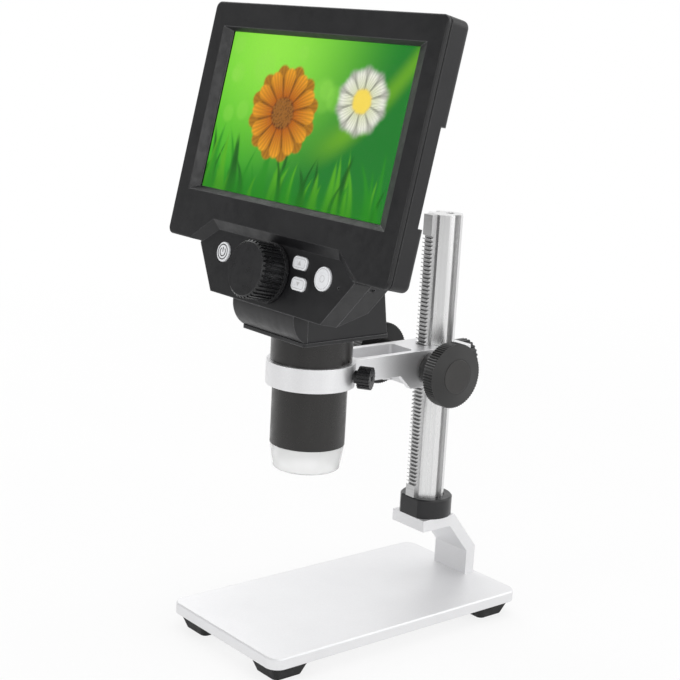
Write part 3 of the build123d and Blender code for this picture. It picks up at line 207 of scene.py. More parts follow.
# Metals. Their tool lines run the way that the noise is stretched.
EVENLY = (1, 1, 1)
METALS = {
    "silver_plate": dict(
        dark=(0.75, 0.75, 0.76),
        light=(0.79, 0.79, 0.80),
        rough=0.46,
        stretch=EVENLY,
        metallic=0.6,
        lines=1800,
    ),
    "anodised_aluminium": dict(
        dark=(0.74, 0.74, 0.75),
        light=(0.80, 0.80, 0.81),
        rough=0.38,
        stretch=EVENLY,
        metallic=0.75,
        lines=1600,
        depth=0.004,
        edge=0.4,
    ),
    "column_aluminium": dict(
        dark=(0.70, 0.70, 0.70),
        light=(0.79, 0.79, 0.79),
        rough=0.28,
        stretch=(1, 1, 0.01),
        metallic=0.8,
        lines=1100,
        depth=0.004,
        edge=0.2,
    ),
    "rack_steel": dict(
        dark=(0.46, 0.46, 0.46), light=(0.58, 0.58, 0.58), rough=0.32, stretch=(0.05, 1, 1), edge=0.12
    ),
    "steel": dict(dark=(0.38, 0.38, 0.39), light=(0.55, 0.55, 0.56), rough=0.28, stretch=(0.05, 1, 1)),
    "screw_black": dict(
        dark=(0.02, 0.02, 0.02), light=(0.04, 0.04, 0.04), rough=0.35, stretch=EVENLY, metallic=0.8
    ),
    "connector_steel": dict(
        dark=(0.55, 0.55, 0.56), light=(0.68, 0.68, 0.69), rough=0.25, stretch=(1, 1, 0.1)
    ),
    "bronze": dict(dark=(0.45, 0.30, 0.14), light=(0.60, 0.43, 0.22), rough=0.32, stretch=(0.1, 1, 1)),
    "battery_silver": dict(
        dark=(0.42, 0.46, 0.54), light=(0.55, 0.60, 0.68), rough=0.4, stretch=(1, 0.1, 1), metallic=0.7
    ),
}

# Glass, clear plastic and other even surfaces. A noise is written as (scale, detail).
EVEN_SURFACES = {
    "led_white": dict(
        dark=(0.85, 0.82, 0.55),
        light=(0.95, 0.93, 0.80),
        shades=(900, 4),
        rough=(0.12, 0.2),
        smears=(600, 4),
        ripple=(1200, 4),
        depth=0.01,
    ),
    # frosted by the light-spreading grain inside it
    "clear_plastic": dict(
        dark=(0.93, 0.93, 0.93),
        light=(0.98, 0.98, 0.98),
        shades=(60, 3),
        rough=(0.14, 0.22),
        smears=(300, 3),
        ripple=(900, 3),
        depth=0.02,
        strength=0.5,
        Transmission_Weight=0.55,
        IOR=1.45,
    ),
    # a hard clear cover with the faintest smears
    "screen_cover": dict(
        dark=(0.97, 0.97, 0.97),
        light=(1.0, 1.0, 1.0),
        shades=(25, 3),
        rough=(0.03, 0.07),
        smears=(20, 5),
        ripple=(60, 2),
        depth=0.002,
        strength=0.3,
        Transmission_Weight=1.0,
        IOR=1.1,
    ),
    "lcd_black": dict(
        dark=(0.004, 0.004, 0.004),
        light=(0.008, 0.008, 0.009),
        shades=(50, 3),
        rough=(0.25, 0.33),
        smears=(120, 3),
        ripple=(1500, 2),
        depth=0.005,
    ),
    "lens_glass": dict(
        dark=(0.80, 0.88, 0.95),
        light=(0.92, 0.90, 0.98),
        shades=(90, 2),
        rough=(0.02, 0.05),
        smears=(60, 4),
        ripple=(80, 2),
        depth=0.001,
        strength=0.2,
        Transmission_Weight=0.95,
        IOR=1.5,
    ),
}

# The greys of the button signs, thin and a little uneven: print, and the painted shade lines that stand for
# the bevel or groove round a button's face.
INKS_AND_SHADE_LINES = {"icon_ink": (0.07, 0.11), "faint_ink": (0.44, 0.54)}

# Nodes whose finish has another name than their slot.
SINGLE_NODE_FINISH = {
    "column": "column_aluminium",
    "knob_cap_left": "cap_black",
    "knob_cap_right": "cap_black",
    "knob_left": "turned_black",
    "knob_right": "turned_black",
    "lcd_panel": "lcd_black",
}


def joint_named(name):
    return next(joint for joint in frame["joints"] if joint["name"] == name)


def put_in_scene(thing):
    bpy.context.scene.collection.objects.link(thing)


# ---------------------------------------------------------------- camera
def make_camera():
    """The photograph's camera."""
    azimuth, elevation, roll = map(math.radians, (CAMERA_AZIMUTH, CAMERA_ELEVATION, CAMERA_ROLL))
    back = Vector(
        (
            math.sin(azimuth) * math.cos(elevation),
            -math.cos(azimuth) * math.cos(elevation),
            math.sin(elevation),
        )
    )
    right = Vector((math.cos(azimuth), math.sin(azimuth), 0))
    up = back.cross(right)
    rolled_right = right * math.cos(roll) + up * math.sin(roll)
    rolled_up = up * math.cos(roll) - right * math.sin(roll)
    data = bpy.data.cameras.new("camera")
    data.sensor_width = SENSOR_WIDTH
    data.lens = SENSOR_WIDTH * FOCAL_LENGTH_PIXELS / PHOTO_WIDTH_PIXELS
    data.clip_start = NEAREST_SEEN
    data.clip_end = FARTHEST_SEEN
    camera = bpy.data.objects.new("camera", data)
    turn = Matrix((rolled_right, rolled_up, back)).transposed().to_4x4()
    camera.matrix_world = Matrix.Translation(Vector(CAMERA_PLACE) * MM) @ turn
    put_in_scene(camera)
    bpy.context.scene.camera = camera


# ---------------------------------------------------------------- materials
class Graph:
    """A short way to write a node tree."""

    def __init__(self, name, edge_radius=0.35):
        self.material = bpy.data.materials.new(name)
        self.material.use_nodes = True
        self.tree = self.material.node_tree
        self.shader = self.tree.nodes["Principled BSDF"]
        self.place = self.new("ShaderNodeTexCoord").outputs["Object"]
        self.rounded = self.new("ShaderNodeBevel", samples=6)
        self.rounded.inputs["Radius"].default_value = edge_radius * MM

    def new(self, kind, **settings):
        node = self.tree.nodes.new(kind)
        for key, value in settings.items():
            setattr(node, key, value)
        return node

    def link(self, output, node, socket):
        self.tree.links.new(output, node.inputs[socket])

    def set(self, **values):
        for key, value in values.items():
            self.shader.inputs[key.replace("_", " ")].default_value = value

    def stretched(self, scale):
        node = self.new("ShaderNodeMapping")
        node.inputs["Scale"].default_value = scale
        self.link(self.place, node, "Vector")
        return node.outputs["Vector"]

    def noise(self, scale, detail=4, place=None, rough=0.55):
        node = self.new("ShaderNodeTexNoise")
        node.inputs["Scale"].default_value = scale
        node.inputs["Detail"].default_value = detail
        node.inputs["Roughness"].default_value = rough
        self.link(place or self.place, node, "Vector")
        return node.outputs["Fac"]

    def ramp(self, factor, dark, light, start=0.35, end=0.65):
        """Dark up to start, light from end on; a noise stays mostly between the two."""
        node = self.new("ShaderNodeValToRGB")
        for element, position, colour in zip(node.color_ramp.elements, (start, end), (dark, light)):
            element.position = position
            element.color = (*colour, 1)
        self.link(factor, node, "Fac")
        return node.outputs["Color"]

    def remap(self, factor, low, high, from_low=0.3, from_high=0.7):
        node = self.new("ShaderNodeMapRange")
        for socket, value in (
            ("From Min", from_low),
            ("From Max", from_high),
            ("To Min", low),
            ("To Max", high),
        ):
            node.inputs[socket].default_value = value
        self.link(factor, node, "Value")
        return node.outputs["Result"]

    def mix(self, factor, a, b):
        node = self.new("ShaderNodeMix", data_type="RGBA")
        self.link(factor, node, 0)
        for socket, value in ((6, a), (7, b)):
            if isinstance(value, tuple):
                node.inputs[socket].default_value = (*value, 1)
            else:
                self.link(value, node, socket)
        return node.outputs[2]

    def maths(self, operation, a, b):
        node = self.new("ShaderNodeMath", operation=operation)
        for socket, value in ((0, a), (1, b)):
            if isinstance(value, (int, float)):
                node.inputs[socket].default_value = value
            else:
                self.link(value, node, socket)
        return node.outputs[0]

    def vector_maths(self, operation, a, b=None):
        node = self.new("ShaderNodeVectorMath", operation=operation)
        self.link(a, node, 0)
        if isinstance(b, bpy.types.NodeSocket):
            self.link(b, node, 1)
        elif b is not None:
            node.inputs[1].default_value = b
        return node.outputs

    def wear_and_highlight_edges(self, amount=1.0):
        """The amount on the edges, fading to 0 on the flats, broken up by a noise. It lightens edges, partly
        as wear and partly as a painted highlight.
        """
        normal = self.new("ShaderNodeNewGeometry").outputs["Normal"]
        turn = self.vector_maths("DOT_PRODUCT", self.rounded.outputs["Normal"], normal)["Value"]
        edge = self.remap(turn, amount, 0, from_low=0.80, from_high=0.97)
        return self.maths("MULTIPLY", edge, self.remap(self.noise(180, 3), 0.6, 1.0))

    def colour(self, output):
        self.link(output, self.shader, "Base Color")

    def roughness(self, output):
        self.link(output, self.shader, "Roughness")

    def bump(self, heights, depth, strength=1.0):
        node = self.new("ShaderNodeBump")
        node.inputs["Strength"].default_value = strength
        node.inputs["Distance"].default_value = depth * MM
        self.link(heights, node, "Height")
        self.link(self.rounded.outputs["Normal"], node, "Normal")
        self.link(node.outputs["Normal"], self.shader, "Normal")


def moulded_plastic(name, dark, light, worn, rough, grain, depth, shine=0.5, edge=0.35):
    """Moulded plastic with a spark-eroded grain, slight shade changes, smudges, and lighter edges that are
    partly rubbing wear and partly a painted highlight.
    """
    g = Graph(name, edge)
    shade = g.ramp(g.noise(35, 5), dark, light)
    g.colour(g.mix(g.wear_and_highlight_edges(), shade, worn))
    smudges = g.noise(28, 6, rough=0.7)
    both = g.maths("ADD", smudges, g.noise(220, 2))
    g.roughness(g.remap(both, rough - 0.07, rough + 0.07, from_low=0.8, from_high=1.2))
    coarse = g.maths("MULTIPLY", g.noise(grain / 4, 2), 0.5)
    g.bump(g.maths("ADD", g.noise(grain, 2), coarse), depth)
    g.set(Specular_IOR_Level=shine)
    return g.material


def worked_metal(name, dark, light, rough, stretch, metallic=1.0, lines=900, depth=0.01, edge=0.3):
    """Aluminium or steel with fine tool lines along one direction, clouding, and brighter edges that are
    partly wear and partly a painted highlight.
    """
    g = Graph(name, edge)
    tool = g.noise(lines, 3, place=g.stretched(stretch))
    cloud = g.noise(30, 4)
    both = g.maths("ADD", g.maths("MULTIPLY", tool, 0.6), g.maths("MULTIPLY", cloud, 0.4))
    shade = g.ramp(both, dark, light)
    # The edges' colour: partly wear, partly a painted highlight.
    edge_highlight_and_wear = tuple(min(1.0, 1.15 * value) for value in light)
    g.colour(g.mix(g.wear_and_highlight_edges(0.8), shade, edge_highlight_and_wear))
    g.roughness(g.remap(both, rough + 0.06, rough - 0.05))
    g.bump(tool, depth, 0.6)
    g.set(Metallic=metallic)
    return g.material


def even_surface(name, dark, light, shades, rough, smears, ripple, depth, strength=1.0, **settings):
    """Two shades, a roughness that changes slowly and a shallow ripple."""
    g = Graph(name)
    g.colour(g.ramp(g.noise(*shades), dark, light, start=0.3, end=0.7))
    g.roughness(g.remap(g.noise(*smears), *rough))
    g.bump(g.noise(*ripple), depth, strength)
    g.set(**settings)
    return g.material


# Grey for printed signs and for the painted shade lines of the buttons' bevels and grooves.
def ink_and_shade_line(name, dark, light):
    g = Graph(name, edge_radius=0.01)
    g.colour(g.ramp(g.noise(1500, 3), (dark, dark, dark), (light, light, light)))
    g.roughness(g.remap(g.noise(900), 0.4, 0.55))
    g.bump(g.noise(2500), depth=0.005)
    return g.material


def turned_black():
    """Black knob face with the fine rings that turning leaves round the knob's axis."""
    g = Graph("turned_black", edge_radius=0.2)
    away = g.vector_maths("SUBTRACT", g.place, joint_named("pinion_turn")["pos_m"])["Vector"]
    across = g.vector_maths("MULTIPLY", away, (0, 1, 1))["Vector"]
    reach = g.new("ShaderNodeCombineXYZ")
    g.link(g.vector_maths("LENGTH", across)["Value"], reach, "X")
    rings = g.noise(2600, 2, place=reach.outputs["Vector"])
    shade = g.ramp(rings, (0.008, 0.008, 0.008), (0.013, 0.0125, 0.012))
    # Edges painted lighter: partly wear, partly a painted highlight on the rim.
    g.colour(g.mix(g.wear_and_highlight_edges(), shade, (0.12, 0.12, 0.12)))
    g.roughness(g.remap(g.noise(40, 4), 0.27, 0.36))
    g.bump(rings, depth=0.012)
    g.set(Specular_IOR_Level=0.5)
    return g.material


def circuit_board():
    """Green board with raised tracks."""
    g = Graph("circuit_board")
    cells = g.new("ShaderNodeTexVoronoi", feature="F1", distance="MANHATTAN")
    cells.inputs["Scale"].default_value = 260
    g.link(g.place, cells, "Vector")
    tracks = g.remap(cells.outputs["Distance"], 0, 1, from_low=0.25, from_high=0.45)
    g.colour(g.mix(tracks, (0.01, 0.10, 0.04), (0.02, 0.20, 0.08)))
    g.roughness(g.remap(g.noise(400), 0.3, 0.42))
    g.bump(tracks, depth=0.03)
    return g.material


def lit_picture():
    """The screen's light: the mesh's own colours, slightly dimmed by a fine grain."""
    g = Graph("lit_picture")
    picture = g.new("ShaderNodeVertexColor", layer_name="picture").outputs["Color"]
    grain = g.noise(1800, 1)
    g.colour(g.ramp(grain, (0.009, 0.009, 0.009), (0.011, 0.011, 0.011)))
    g.link(g.mix(g.remap(grain, 0.0, 0.08), picture, (0.0, 0.0, 0.0)), g.shader, "Emission Color")
    g.set(Emission_Strength=1.0, Roughness=0.4, Specular_IOR_Level=0.05)
    return g.material


def make_materials():
    """One material for each slot of the record, and more for single nodes and the small pieces."""
    materials = {make.__name__: make() for make in (turned_black, circuit_board, lit_picture)}
    for make, finishes in (
        (moulded_plastic, PLASTICS),
        (worked_metal, METALS),
        (even_surface, EVEN_SURFACES),
    ):
        for name, finish in finishes.items():
            materials[name] = make(name, **finish)
    for name, shades in INKS_AND_SHADE_LINES.items():
        materials[name] = ink_and_shade_line(name, *shades)
    return materials


def dress_nodes(materials):
    """Gives every CAD node its own finish, or else the one of its slot."""
    for subpart in frame["record"]["subparts"]:
        name = subpart["node"]
        slot = SINGLE_NODE_FINISH.get(name, subpart["material_slot"])
        nodes[name].data.materials.clear()
        nodes[name].data.materials.append(materials[slot])


# ---------------------------------------------------------------- the display's own axes
SCREEN_OUT = Vector(joint_named("focus_turn")["axis"]).normalized()
SCREEN_RIGHT = Vector((1, 0, 0))
SCREEN_UP = SCREEN_OUT.cross(SCREEN_RIGHT)


def screen_corners(name):
    """A node's vertices as (right, up, out) along the display's axes, in mm."""
    corners = []
    for vertex in nodes[name].data.vertices:
        corners.append([vertex.co.dot(axis) / MM for axis in (SCREEN_RIGHT, SCREEN_UP, SCREEN_OUT)])
    return np.array(corners)


def screen_extent(name):
    """A node's lowest and highest (right, up, out), in mm."""
    corners = screen_corners(name)
    return corners.min(axis=0), corners.max(axis=0)


def front_face(name):
    """The lowest and highest (right, up, out) of a node's flat front face, in mm."""
    corners = screen_corners(name)
    front = corners[corners[:, 2] > corners[:, 2].max() - FACE_TOLERANCE]
    return front.min(axis=0), front.max(axis=0)


def screen_place(right, up, out):
    """World place, in metres, of a point given in mm along the display's axes."""
    return (SCREEN_RIGHT * right + SCREEN_UP * up + SCREEN_OUT * out) * MM


def mesh_from(bm, name):
    mesh = bpy.data.meshes.new(name)
    bm.to_mesh(mesh)
    bm.free()
    return mesh


def add_piece(name, mesh, body, material):
    mesh.materials.append(material)
    piece = bpy.data.objects.new(name, mesh)
    put_in_scene(piece)
    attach(piece, body)


# ---------------------------------------------------------------- the picture on the screen
# A made-up close-up of two blossoms over grass. Its height is 1 and its width about 1.75; x runs to
# the right and y up. Colours are linear, and a cover is how far a colour hides what lies behind it.
MEADOW_DEEP = (0.010, 0.20, 0.020)
MEADOW_NEAR = (0.045, 0.50, 0.008)
MEADOW_FALL = 0.9
MEADOW_SHADE_FROM = 0.2
MEADOW_SHADE_TO = 1.9

GLOW = dict(middle=(0.45, 0.95), reach=0.95, squeeze=0.8, colour=(0.34, 0.88, 0.07), cover=0.85)

LEAF_FOOT = (1.05, 0.35)
LEAF_SLOPE = 0.3
LEAF_BEND = 0.75
LEAF_HALF_WIDTH = 0.16
LEAF_FADE = (0.9, 1.3)
LEAF_COLOUR = (0.22, 0.52, 0.01)
LEAF_COVER = 0.55

SPOTS = 14
SPOT_SEED = 7
SPOT_ACROSS = (0, 1.75)
SPOT_UP = (0.45, 1.0)
SPOT_RADIUS = (0.05, 0.13)
SPOT_EDGE = 0.6
SPOT_COLOUR = (0.30, 0.75, 0.08)
SPOT_COVER = 0.30

BLADES = 64
BLADE_SEED = 11
BLADE_FOOT = (-0.1, 1.85)
BLADE_LEAN = (-0.5, 0.5)
BLADE_TOP = (0.14, 0.46)
BLADE_WIDTH = (0.014, 0.042)
BLADE_COLOURS = ((0.004, 0.09, 0.004), (0.02, 0.28, 0.01), (0.10, 0.44, 0.01))
BLADE_LEAST_SHARE = 0.02
BLADE_SIDES = (1.9, 0.3)
BLADE_TOP_FADE = 0.7
BLADE_COVER = 0.85

NEAR_GRASS_HEIGHT = 0.22
NEAR_GRASS_COLOUR = (0.01, 0.22, 0.004)
NEAR_GRASS_COVER = 0.6

PETAL_WAIST = 0.74
PETAL_BLUNTNESS = 0.6
PETAL_FADE = 1.4
PETAL_STREAKS = 5
PETAL_STREAK_DEPTH = 0.14
PETAL_STREAK_BEND = 7
PETAL_SIDE_LIGHT = 0.30
PETAL_SIDE = (0.05, 0.60)
PETAL_SIDE_AT_HEART = 0.25

FLOWER_SQUEEZE = 1.1
FRONT_RING = 0.92
BACK_RING_INNER_LIGHT = 0.5
BACK_RING_OUTER_LIGHT = 0.55
HEART_EDGE = (0.34, 0.30)
GRAINS = 70
GRAIN_SEED = 5
GRAIN_REACH = 0.31
GRAIN_SIZE = (0.018, 0.032)
GRAIN_EDGE = (1.4, 0.3)
GRAIN_COVER = 0.8
GOLDEN_ANGLE = 2.39996

WHITE_FLOWER = dict(
    middle=(1.36, 0.66),
    radius=0.22,
    petals=10,
    blur=0.030,
    inner=(0.72, 0.78, 0.42),
    outer=(0.98, 0.98, 0.90),
    heart=(0.55, 0.36, 0.02),
    grain=(0.95, 0.72, 0.10),
)
GOLD_FLOWER = dict(
    middle=(0.66, 0.53),
    radius=0.33,
    petals=12,
    blur=0.010,
    inner=(0.42, 0.05, 0.0),
    outer=(0.92, 0.40, 0.02),
    heart=(0.030, 0.008, 0.003),
    grain=(0.42, 0.16, 0.02),
)


def blend(low, high, value):
    """0 at low, 1 at high and a smooth step between; low may be the greater of the two."""
    share = np.clip((value - low) / (high - low), 0, 1)
    return share * share * (3 - 2 * share)


def over(picture, colour, cover):
    return picture + (np.array(colour) - picture) * cover[:, None]


def meadow(x, y):
    """A green meadow far out of focus: a glow at the upper left, deep shade at the lower right."""
    near = blend(MEADOW_SHADE_TO, MEADOW_SHADE_FROM, x + MEADOW_FALL * (1 - y))
    picture = over(np.tile(MEADOW_DEEP, (x.size, 1)), MEADOW_NEAR, near)
    glow_x, glow_y = GLOW["middle"]
    glow = blend(GLOW["reach"], 0.0, np.hypot(GLOW["squeeze"] * (x - glow_x), y - glow_y))
    picture = over(picture, GLOW["colour"], GLOW["cover"] * glow)
    along = x - LEAF_FOOT[0]
    height = LEAF_FOOT[1] + LEAF_BEND * along ** 2 + LEAF_SLOPE * along
    leaf = blend(LEAF_HALF_WIDTH, 0.0, np.abs(y - height))
    picture = over(picture, LEAF_COLOUR, LEAF_COVER * leaf * blend(*LEAF_FADE, x))
    spots = random.Random(SPOT_SEED)
    for _ in range(SPOTS):
        middle_x, middle_y = spots.uniform(*SPOT_ACROSS), spots.uniform(*SPOT_UP)
        radius = spots.uniform(*SPOT_RADIUS)
        distance = np.hypot(x - middle_x, y - middle_y)
        picture = over(picture, SPOT_COLOUR, SPOT_COVER * blend(radius, SPOT_EDGE * radius, distance))
    return picture


def grass(picture, x, y):
    """Blades that rise from the lower edge, in three greens."""
    blades = random.Random(BLADE_SEED)
    for i in range(BLADES):
        foot, lean = blades.uniform(*BLADE_FOOT), blades.uniform(*BLADE_LEAN)
        top, width = blades.uniform(*BLADE_TOP), blades.uniform(*BLADE_WIDTH)
        middle = foot + lean * (y / top) ** 2 * top
        narrow = width * np.clip(1 - y / top, BLADE_LEAST_SHARE, 1)
        cover = blend(*BLADE_SIDES, np.abs(x - middle) / narrow) * blend(top, BLADE_TOP_FADE * top, y)
        picture = over(picture, BLADE_COLOURS[i % len(BLADE_COLOURS)], BLADE_COVER * cover)
    return picture


def petal_ring(picture, polar, radius, petals, turn, inner, outer, blur):
    """One ring of petals, each with a light middle, darker sides and fine streaks."""
    distance, angle = polar[0], polar[1] + turn
    wave = np.abs(np.cos(petals * angle / 2))
    edge = radius * (PETAL_WAIST + (1 - PETAL_WAIST) * wave ** PETAL_BLUNTNESS)
    share = np.clip(distance / radius, 0, 1)
    petal = inner + (outer - inner) * share[:, None] ** PETAL_FADE
    streaks = np.cos(petals * PETAL_STREAKS * angle + PETAL_STREAK_BEND * share)
    streak_light = 1 - PETAL_STREAK_DEPTH + PETAL_STREAK_DEPTH * streaks
    side = blend(*PETAL_SIDE, wave + PETAL_SIDE_AT_HEART * (1 - share))
    side_light = PETAL_SIDE_LIGHT + (1 - PETAL_SIDE_LIGHT) * side
    petal = petal * (streak_light * side_light)[:, None]
    return picture + (petal - picture) * blend(edge + blur, edge - blur, distance)[:, None]


def blossom(picture, x, y, middle, radius, petals, blur, inner, outer, heart, grain):
    """A flower seen from the front: two rings of petals and a heart of small grains."""
    across, high = x - middle[0], (y - middle[1]) * FLOWER_SQUEEZE
    polar = (np.hypot(across, high), np.arctan2(high, across))
    inner, outer = np.array(inner), np.array(outer)
    dim_inner, dim_outer = BACK_RING_INNER_LIGHT * inner, BACK_RING_OUTER_LIGHT * outer
    picture = petal_ring(picture, polar, radius, petals, math.pi / petals, dim_inner, dim_outer, blur)
    picture = petal_ring(picture, polar, FRONT_RING * radius, petals, 0, inner, outer, blur)
    edge_out, edge_in = (share * radius for share in HEART_EDGE)
    picture = over(picture, heart, blend(edge_out + blur, edge_in - blur, polar[0]))
    grains = random.Random(GRAIN_SEED)
    for i in range(GRAINS):
        reach, turn = radius * GRAIN_REACH * math.sqrt((i + 0.5) / GRAINS), i * GOLDEN_ANGLE
        distance = np.hypot(across - reach * math.cos(turn), high - reach * math.sin(turn))
        size = radius * grains.uniform(*GRAIN_SIZE) + 0.5 * blur
        edge_out, edge_in = (share * size for share in GRAIN_EDGE)
        picture = over(picture, grain, GRAIN_COVER * blend(edge_out, edge_in, distance))
    return picture


def picture_colours(x, y):
    """The far flower stands behind the grass and the near one before it."""
    picture = meadow(x, y)
    picture = blossom(picture, x, y, **WHITE_FLOWER)
    picture = grass(picture, x, y)
    picture = blossom(picture, x, y, **GOLD_FLOWER)
    return over(picture, NEAR_GRASS_COLOUR, NEAR_GRASS_COVER * blend(NEAR_GRASS_HEIGHT, 0.0, y))


def make_picture(materials):
    """A flat sheet just before the panel, its vertices coloured with the picture."""
    low, high = screen_extent("screen_glass")
    front_of_lcd = screen_extent("lcd_panel")[1][2]
    right = np.linspace(low[0] + GLASS_LAP, high[0] - GLASS_LAP, PICTURE_COLUMNS)
    up = np.linspace(low[1] + GLASS_LAP, high[1] - GLASS_LAP, PICTURE_ROWS)
    places = [screen_place(u, v, front_of_lcd + PICTURE_GAP) for v in up for u in right]
    faces = []
    for row in range(PICTURE_ROWS - 1):
        for column in range(PICTURE_COLUMNS - 1):
            corner = row * PICTURE_COLUMNS + column
            faces.append((corner, corner + 1, corner + 1 + PICTURE_COLUMNS, corner + PICTURE_COLUMNS))
    mesh = bpy.data.meshes.new("screen_picture")
    mesh.from_pydata(places, [], faces)
    width_share = (right[-1] - right[0]) / (up[-1] - up[0])
    x, y = np.meshgrid(np.linspace(0, width_share, PICTURE_COLUMNS), np.linspace(0, 1, PICTURE_ROWS))
    colours = np.ones((x.size, 4))
    colours[:, :3] = np.clip(picture_colours(x.ravel(), y.ravel()), 0, 1)
    layer = mesh.color_attributes.new("picture", "FLOAT_COLOR", "POINT")
    layer.data.foreach_set("color", colours.ravel())
    add_piece("screen_picture", mesh, "head", materials["lit_picture"])


# ---------------------------------------------------------------- signs on the buttons
# Each sign is a list of flat shapes round the button's middle. It is given half the size of the
# button's face, across and up, and everything is in mm.
def arc_strip(radius, width, start, end, steps):
    """A bent strip round the origin, as (x, y) quads."""
    inner, outer = radius - width / 2, radius + width / 2
    quads = []
    for i in range(steps):
        a, b = (start + (end - start) * k / steps for k in (i, i + 1))
        corners = ((inner, a), (outer, a), (outer, b), (inner, b))
        quads.append([(reach * math.cos(turn), reach * math.sin(turn)) for reach, turn in corners])
    return quads


def power_sign(half):
    """A dark ring inside the rim, painted shade of the groove there, and the printed open circle and bar of
    a power switch.
    """
    gap = math.radians(POWER_SIGN_HALF_GAP_DEGREES)
    sign = POWER_SIGN_SHARE * half[0]
    quads = arc_strip(POWER_RING_SHARE * half[0], POWER_RING_WIDTH, 0, 2 * math.pi, ROUND_STEPS)
    quads += arc_strip(sign, POWER_SIGN_WIDTH, math.pi / 2 + gap, 2.5 * math.pi - gap, POWER_SIGN_STEPS)
    side = POWER_SIGN_WIDTH / 2
    return quads + [[(-side, 0), (side, 0), (side, sign + side), (-side, sign + side)]]


def bevel_shade_line(half):
    """A thin line inside a button's edge, with rounded corners: painted shade of the bevel round the face.
    """
    quads = []
    centre_x, centre_y = (size - OUTLINE_INSET - OUTLINE_CORNER for size in half)
    corners = []
    for quarter, (side_x, side_y) in enumerate(((1, 1), (-1, 1), (-1, -1), (1, -1))):
        for step in range(OUTLINE_CORNER_STEPS + 1):
            turn = math.pi / 2 * (quarter + step / OUTLINE_CORNER_STEPS)
            corners.append((side_x * centre_x, side_y * centre_y, math.cos(turn), math.sin(turn)))
    inner, outer = OUTLINE_CORNER - OUTLINE_WIDTH, OUTLINE_CORNER
    for here, after in zip(corners, corners[1:] + corners[:1]):
        quad = []
        for corner, reach in ((here, inner), (here, outer), (after, outer), (after, inner)):
            quad.append((corner[0] + reach * corner[2], corner[1] + reach * corner[3]))
        quads.append(quad)
    return quads


def up_sign(half):
    foot, tip = -ARROW_HALF_HEIGHT, ARROW_HALF_HEIGHT
    return bevel_shade_line(half) + [[(-ARROW_HALF_WIDTH, foot), (ARROW_HALF_WIDTH, foot), (0, tip)]]


def down_sign(half):
    foot, tip = ARROW_HALF_HEIGHT, -ARROW_HALF_HEIGHT
    return bevel_shade_line(half) + [[(-ARROW_HALF_WIDTH, foot), (0, tip), (ARROW_HALF_WIDTH, foot)]]


def select_sign(half):
    """A ring inside the edge, painted shade of the bevel round the face, and a smaller printed one in the
    middle.
    """
    edge = arc_strip(half[0] - OUTLINE_INSET, OUTLINE_WIDTH, 0, 2 * math.pi, ROUND_STEPS)
    return edge + arc_strip(SELECT_SIGN_RADIUS, OUTLINE_WIDTH, 0, 2 * math.pi, SELECT_SIGN_STEPS)


def lay_sign(name, button, body, sign, material):
    """Lays flat shapes on a button's face as a thin raised layer: printed marks and painted shade lines."""
    low, high = front_face(button)
    middle, half = (low + high) / 2, (high - low) / 2
    bm = bmesh.new()
    for shape in sign(half[:2]):
        corners = [screen_place(middle[0] + x, middle[1] + y, high[2]) for x, y in shape]
        bm.faces.new([bm.verts.new(corner) for corner in corners])
    bmesh.ops.remove_doubles(bm, verts=bm.verts, dist=WELD_DISTANCE * MM)
    raised = bmesh.ops.extrude_face_region(bm, geom=bm.faces[:])
    tops = [item for item in raised["geom"] if isinstance(item, bmesh.types.BMVert)]
    bmesh.ops.translate(bm, verts=tops, vec=SCREEN_OUT * SIGN_LAYER_THICKNESS * MM)
    bmesh.ops.recalc_face_normals(bm, faces=bm.faces)
    add_piece(name, mesh_from(bm, name), body, material)


def make_signs(materials):
    dark, faint = materials["icon_ink"], materials["faint_ink"]
    lay_sign("power_sign", "power_button", "power_key", power_sign, dark)
    lay_sign("up_sign", "up_button", "up_key", up_sign, faint)
    lay_sign("down_sign", "down_button", "down_key", down_sign, faint)
    lay_sign("select_sign", "round_button", "round_key", select_sign, faint)


# ---------------------------------------------------------------- small screws in the housing's back
def domed_head():
    """A screw's head without its recess, its seat on z = 0."""
    levels = [(SCREW_HEAD_RADIUS, 0)]
    for i in range(SCREW_RINGS):
        turn = math.pi / 2 * i / (SCREW_RINGS - 1)
        radius = SCREW_HEAD_RADIUS * max(math.cos(turn * SCREW_DOME_SHARE), SCREW_TOP_SHARE)
        height = SCREW_HEAD_HEIGHT * (SCREW_SKIRT_SHARE + (1 - SCREW_SKIRT_SHARE) * math.sin(turn))
        levels.append((radius, height))
    turns = [2 * math.pi * k / SCREW_STEPS for k in range(SCREW_STEPS)]
    bm = bmesh.new()
    rows = []
    for radius, height in levels:
        places = [Vector((radius * math.cos(t), radius * math.sin(t), height)) * MM for t in turns]
        rows.append([bm.verts.new(place) for place in places])
    for lower, upper in zip(rows, rows[1:]):
        for k in range(SCREW_STEPS):
            after = (k + 1) % SCREW_STEPS
            bm.faces.new((lower[k], lower[after], upper[after], upper[k]))
    bm.faces.new(rows[-1])
    bm.faces.new(rows[0][::-1])
    return bpy.data.objects.new("head_blank", mesh_from(bm, "housing_screw"))


def cross_cutter():
    bm = bmesh.new()
    for length, width in ((SCREW_SLOT_LENGTH, SCREW_SLOT_WIDTH), (SCREW_SLOT_WIDTH, SCREW_SLOT_LENGTH)):
        bar = bmesh.ops.create_cube(bm, size=1)["verts"]
        bmesh.ops.scale(bm, vec=Vector((length, width, 2 * SCREW_SLOT_DEPTH)) * MM, verts=bar)
        bmesh.ops.translate(bm, vec=(0, 0, SCREW_HEAD_HEIGHT * MM), verts=bar)
    return bpy.data.objects.new("cross_cutter", mesh_from(bm, "cross_cutter"))


